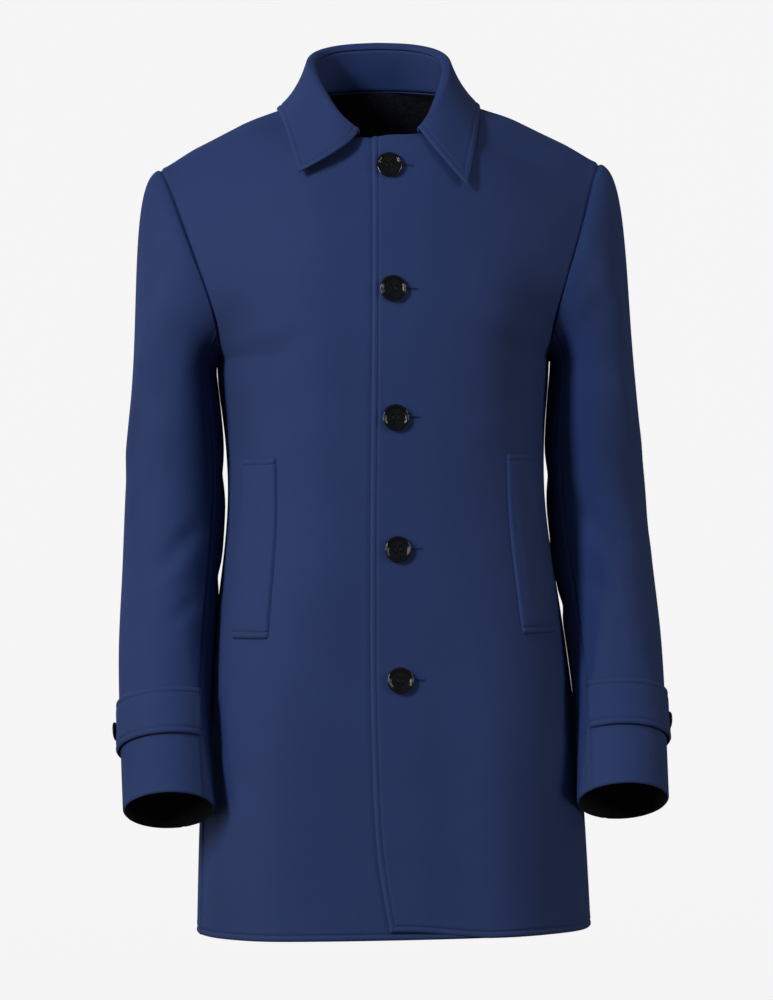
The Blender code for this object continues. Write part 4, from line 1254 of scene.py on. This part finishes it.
# Buttons
# Polished black plastic, turned with a raised rim and a dished middle, each sewn on through four holes with
# two bars of dark thread: five down the front, one on each cuff tab.
BUTTON_RADIUS = 0.0134
CUFF_BUTTON_RADIUS = 0.0095
BUTTON_SIDES = 96
BUTTON_SECTION = (
    (0.00, 0.020), (0.62, 0.000), (0.80, 0.030), (0.91, 0.075), (0.97, 0.130), (0.995, 0.190),
    (1.00, 0.235), (0.99, 0.275), (0.965, 0.310), (0.93, 0.332), (0.885, 0.343), (0.845, 0.338),
    (0.812, 0.318), (0.788, 0.286), (0.768, 0.250), (0.745, 0.224), (0.715, 0.208), (0.66, 0.199),
    (0.55, 0.193), (0.45, 0.188), (0.30, 0.183), (0.15, 0.181), (0.00, 0.180),
)
HOLE_OUT = 0.185
HOLE_SIZE = 0.075
HOLE_SIDES = 20
HOLE_ENDS = (-0.3, 0.6)
SHARP_ANGLE = 40
PLASTIC_BLACK = (0.0016, 0.0019, 0.0028)
PLASTIC_GREY = (0.0038, 0.0043, 0.0060)
STREAK_SCALE = 190.0
SCRATCH_SCALE = 900.0
SCRATCH_RELIEF = 0.000003
TURNING_WAVES = 9000.0
TURNING_RELIEF = 0.0000010


def button_plastic():
    """Cast polyester: almost black with faint paler streaks, polished, with fine turning marks."""
    finish = Finish("polished_button")
    where = finish.node("ShaderNodeTexCoord", {}, {}, "Object")
    across = finish.part(where, 0)
    along = finish.part(where, 1)
    out = (across * across + along * along).root()
    streak = finish.noise(where, STREAK_SCALE, 3.0)
    scratch = finish.noise(where, SCRATCH_SCALE, 2.0)
    turned = (out * TURNING_WAVES).sine()
    tone = finish.mixed(streak.over(0.42, 0.75), PLASTIC_BLACK, PLASTIC_GREY)
    marks = finish.bump(turned, TURNING_RELIEF)
    finish.shine(
        Base_Color=tone,
        Roughness=0.06 + 0.05 * scratch,
        Specular_IOR_Level=0.55,
        Normal=finish.bump(scratch, SCRATCH_RELIEF, marks),
    )
    return finish.material


plastic = button_plastic()


def turned_button(name, radius):
    """Button blank on its own axis."""
    angles = np.linspace(0.0, 2.0 * math.pi, BUTTON_SIDES, endpoint=False)
    rings = np.array(BUTTON_SECTION[1:-1]) * radius
    verts = np.stack((
        np.outer(rings[:, 0], np.cos(angles)),
        np.outer(rings[:, 0], np.sin(angles)),
        np.repeat(rings[:, 1:2], BUTTON_SIDES, axis=1),
    ), axis=-1).reshape(-1, 3)
    index = np.arange(len(verts)).reshape(len(rings), BUTTON_SIDES)
    index = np.hstack((index, index[:, :1]))
    faces = grid_quads(index).tolist()
    bottom = len(verts)
    ends = np.array(((0.0, 0.0, BUTTON_SECTION[0][1]), (0.0, 0.0, BUTTON_SECTION[-1][1]))) * radius
    verts = np.vstack((verts, ends))
    for k in range(BUTTON_SIDES):
        faces.append([int(index[0, k + 1]), int(index[0, k]), bottom])
        faces.append([int(index[-1, k]), int(index[-1, k + 1]), bottom + 1])
    return add_mesh(name, verts, faces, (plastic,), np.zeros(len(faces)))


def drill(button, radius):
    """Cut the four holes."""
    angles = np.linspace(0.0, 2.0 * math.pi, HOLE_SIDES, endpoint=False)
    circle = np.stack((np.cos(angles), np.sin(angles)), axis=1) * HOLE_SIZE
    verts = []
    faces = []
    for x in (-HOLE_OUT, HOLE_OUT):
        for y in (-HOLE_OUT, HOLE_OUT):
            first = len(verts)
            for z in HOLE_ENDS:
                verts += [((x + dx) * radius, (y + dy) * radius, z * radius) for dx, dy in circle]
            faces.append([first + k for k in reversed(range(HOLE_SIDES))])
            faces.append([first + HOLE_SIDES + k for k in range(HOLE_SIDES)])
            for k in range(HOLE_SIDES):
                after = (k + 1) % HOLE_SIDES
                faces.append([first + k, first + after, first + HOLE_SIDES + after, first + HOLE_SIDES + k])
    mesh = bpy.data.meshes.new("drill")
    mesh.from_pydata(verts, [], faces)
    bit = bpy.data.objects.new("drill", mesh)
    bpy.context.scene.collection.objects.link(bit)
    cut = button.modifiers.new("holes", "BOOLEAN")
    cut.operation = "DIFFERENCE"
    cut.solver = "EXACT"
    cut.object = bit
    view = bpy.context.evaluated_depsgraph_get()
    drilled = bpy.data.meshes.new_from_object(button.evaluated_get(view))
    button.modifiers.clear()
    bpy.data.objects.remove(bit)
    drilled.shade_smooth()
    drilled.set_sharp_from_angle(angle=math.radians(SHARP_ANGLE))
    button.data = drilled


BAR_THREADS = 3
BAR_RADIUS = 0.00034
BAR_PITCH = 0.75 * BAR_RADIUS
BAR_POINTS = 13
BAR_SIDES = 8
BAR_ARCH = 0.0006
BAR_SINK = 0.0004
BAR_BLACK = (0.0025, 0.0027, 0.0036)
BAR_GREY = (0.0070, 0.0075, 0.0095)
bar_thread = sewing_thread("button_thread", BAR_BLACK, BAR_GREY)


def thread_bars(name, radius, place):
    """Two bars of thread that hold the button, each a few strands between two holes."""
    hole = HOLE_OUT * radius
    top = BUTTON_SECTION[-1][1] * radius
    verts = []
    faces = []
    for x in (-hole, hole):
        for k in range(BAR_THREADS):
            offset = (k - (BAR_THREADS - 1) / 2) * BAR_PITCH
            y = np.linspace(-hole, hole, BAR_POINTS)
            z = top + BAR_ARCH * np.sqrt(np.clip(1.0 - (y / hole) ** 2, 0.0, 1.0)) - BAR_SINK
            line = np.stack((np.full(BAR_POINTS, x + offset), y, z), axis=1)
            angles = np.linspace(0.0, 2.0 * math.pi, BAR_SIDES, endpoint=False)
            ring = np.stack((np.cos(angles), np.zeros(BAR_SIDES), np.sin(angles)), axis=1) * BAR_RADIUS
            tube = line[:, None] + ring[None]
            first = sum(len(part) for part in verts)
            index = first + np.arange(BAR_POINTS * BAR_SIDES).reshape(-1, BAR_SIDES)
            index = np.hstack((index, index[:, :1]))
            verts.append(tube.reshape(-1, 3))
            faces.append(grid_quads(index))
    bars = add_mesh(name, np.vstack(verts), np.vstack(faces), (bar_thread,), np.zeros(sum(map(len, faces))))
    bars.matrix_world = place


def make_button(name, radius, place, direction, spin):
    button = turned_button(name + "_turned", radius)
    drill(button, radius)
    turn = Vector(direction).to_track_quat("Z", "Y").to_matrix().to_4x4()
    matrix = Matrix.Translation(Vector(place)) @ turn @ Matrix.Rotation(math.radians(spin), 4, "Z")
    button.matrix_world = matrix
    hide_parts(name)
    thread_bars(name + "_thread", radius, matrix)


BUTTON_SPINS = (4, -7, 2, 9, -3)
for number, height in enumerate(BUTTON_HEIGHTS, start=1):
    v, s = front_at(BUTTON_X, height)
    face, normal = front_surface(np.array([[v]]), np.array([[s]]), "left")
    place = face[0, 0] + APPLIED_GAP * normal[0, 0]
    make_button("button_%d" % number, BUTTON_RADIUS, place, normal[0, 0], BUTTON_SPINS[number - 1])

TAB_BUTTON_TURN = -14
TAB_BUTTON_SPIN = 12
for side in ("left", "right"):
    knots, _ = sleeve_table(CUFF_SWING[side])
    down = knots[-1] - (TAB_LOW + TAB_HIGH) / 2
    here = tube_points(down, TAB_BUTTON_TURN, CUFF_SWING[side])
    around = tube_points(down, TAB_BUTTON_TURN + 2 * TURN_NUDGE, CUFF_SWING[side]) - here
    below = tube_points(down + NUDGE, TAB_BUTTON_TURN, CUFF_SWING[side]) - here
    normal = unit(np.cross(around, below))
    place = here + normal * (2 * APPLIED_GAP + WELT_CLOTH + TAB_SWELL)
    place, normal = on_side(side, place, normal)
    make_button("cuff_button_" + side, CUFF_BUTTON_RADIUS, place, normal, TAB_BUTTON_SPIN)

# Studio
# A plain pale floor that curves up into the backdrop all round, a soft key light from the front on the coat's
# right, weaker ones from above, the left and behind, two upright strips that only show in gloss, and the
# camera of the photograph.
FLOOR_Z = -1.62
FLOOR_RADIUS = 7.0
FLOOR_RISE = 9.0
FLOOR_CURVE = 4.0
FLOOR_SIDES = 72
FLOOR_BENDS = 14
FLOOR_HOLE = 0.02
PAPER_GREY = (0.30, 0.30, 0.30, 1.0)
PAPER_WHITE = (1.0, 1.0, 1.0, 1.0)
PAPER_GLOW = 0.855


def make_floor():
    profile = [(FLOOR_HOLE, FLOOR_Z), (FLOOR_RADIUS / 2, FLOOR_Z)]
    for bend in np.linspace(0.0, math.pi / 2, FLOOR_BENDS):
        out = FLOOR_RADIUS + FLOOR_CURVE * math.sin(bend)
        profile.append((out, FLOOR_Z + FLOOR_CURVE * (1 - math.cos(bend))))
    profile.append((FLOOR_RADIUS + FLOOR_CURVE, FLOOR_Z + FLOOR_RISE))
    profile = np.array(profile)
    angles = np.linspace(0.0, 2.0 * math.pi, FLOOR_SIDES, endpoint=False)
    verts = np.stack((
        np.outer(profile[:, 0], np.cos(angles)),
        np.outer(profile[:, 0], np.sin(angles)),
        np.repeat(profile[:, 1:2], FLOOR_SIDES, axis=1),
    ), axis=-1).reshape(-1, 3)
    index = np.arange(len(verts)).reshape(-1, FLOOR_SIDES)
    index = np.hstack((index, index[:, :1]))
    mesh = bpy.data.meshes.new("studio_floor")
    mesh.from_pydata(verts.tolist(), [], grid_quads(index).tolist())
    mesh.shade_smooth()
    finish = Finish("studio_paper")
    finish.shine(
        Base_Color=PAPER_GREY,
        Roughness=0.95,
        Specular_IOR_Level=0.0,
        Emission_Color=PAPER_WHITE,
        Emission_Strength=PAPER_GLOW,
    )
    mesh.materials.append(finish.material)
    floor = bpy.data.objects.new("studio_floor", mesh)
    floor.visible_diffuse = False
    floor.visible_glossy = False
    floor.visible_shadow = False
    bpy.context.scene.collection.objects.link(floor)


make_floor()

STUDIO_AIM = (0.0, 0.0, -0.45)
WARM_WHITE = (1.0, 0.99, 0.98)
COOL_WHITE = (0.97, 0.985, 1.0)
WORLD_STRENGTH = 0.105


def add_light(name, place, size, power, colour, mirrored_only=False):
    light = bpy.data.lights.new(name, "AREA")
    light.shape = "RECTANGLE"
    light.size, light.size_y = size
    light.energy = power
    light.color = colour
    lamp = bpy.data.objects.new(name, light)
    lamp.location = place
    lamp.rotation_euler = (Vector(STUDIO_AIM) - Vector(place)).to_track_quat("-Z", "Y").to_euler()
    lamp.visible_camera = False
    lamp.visible_diffuse = not mirrored_only
    lamp.visible_glossy = mirrored_only
    bpy.context.scene.collection.objects.link(lamp)


add_light("key", (-3.2, -2.9, 1.6), (0.55, 1.5), 226.0, WARM_WHITE)
add_light("top", (-0.8, -2.0, 3.0), (1.0, 1.0), 14.0, WARM_WHITE)
add_light("fill", (3.5, -2.5, 0.3), (1.2, 1.2), 50.0, COOL_WHITE)
add_light("back", (-1.5, 3.2, 1.2), (1.2, 1.2), 150.0, WARM_WHITE)
add_light("strip_right", (-3.4, -1.9, 0.3), (0.22, 2.6), 150.0, WARM_WHITE, mirrored_only=True)
add_light("strip_left", (3.4, -1.9, 0.3), (0.18, 2.6), 75.0, COOL_WHITE, mirrored_only=True)

world = bpy.data.worlds.new("studio")
world.use_nodes = True
sky = world.node_tree.nodes["Background"]
sky.inputs["Color"].default_value = (*COOL_WHITE, 1.0)
sky.inputs["Strength"].default_value = WORLD_STRENGTH
bpy.context.scene.world = world
bpy.context.scene.view_settings.view_transform = "Standard"

CAMERA_DISTANCE = 5.2
CAMERA_YAW = math.radians(3.0)
CAMERA_ROLL = math.radians(-1.0)
CAMERA_HEIGHT = -0.414
CAMERA_LENS = 180.9
CAMERA_SENSOR = 36.0
CAMERA_END = 60.0
lens = bpy.data.cameras.new("camera")
lens.lens = CAMERA_LENS
lens.sensor_width = CAMERA_SENSOR
lens.clip_end = CAMERA_END
camera = bpy.data.objects.new("camera", lens)
camera_x = -CAMERA_DISTANCE * math.sin(CAMERA_YAW)
camera_y = -CAMERA_DISTANCE * math.cos(CAMERA_YAW)
camera.location = (camera_x, camera_y, CAMERA_HEIGHT)
aim = Matrix.Rotation(-CAMERA_YAW, 4, "Z") @ Matrix.Rotation(math.radians(90.0), 4, "X")
camera.rotation_euler = (aim @ Matrix.Rotation(CAMERA_ROLL, 4, "Z")).to_euler()
bpy.context.scene.collection.objects.link(camera)
bpy.context.scene.camera = camera
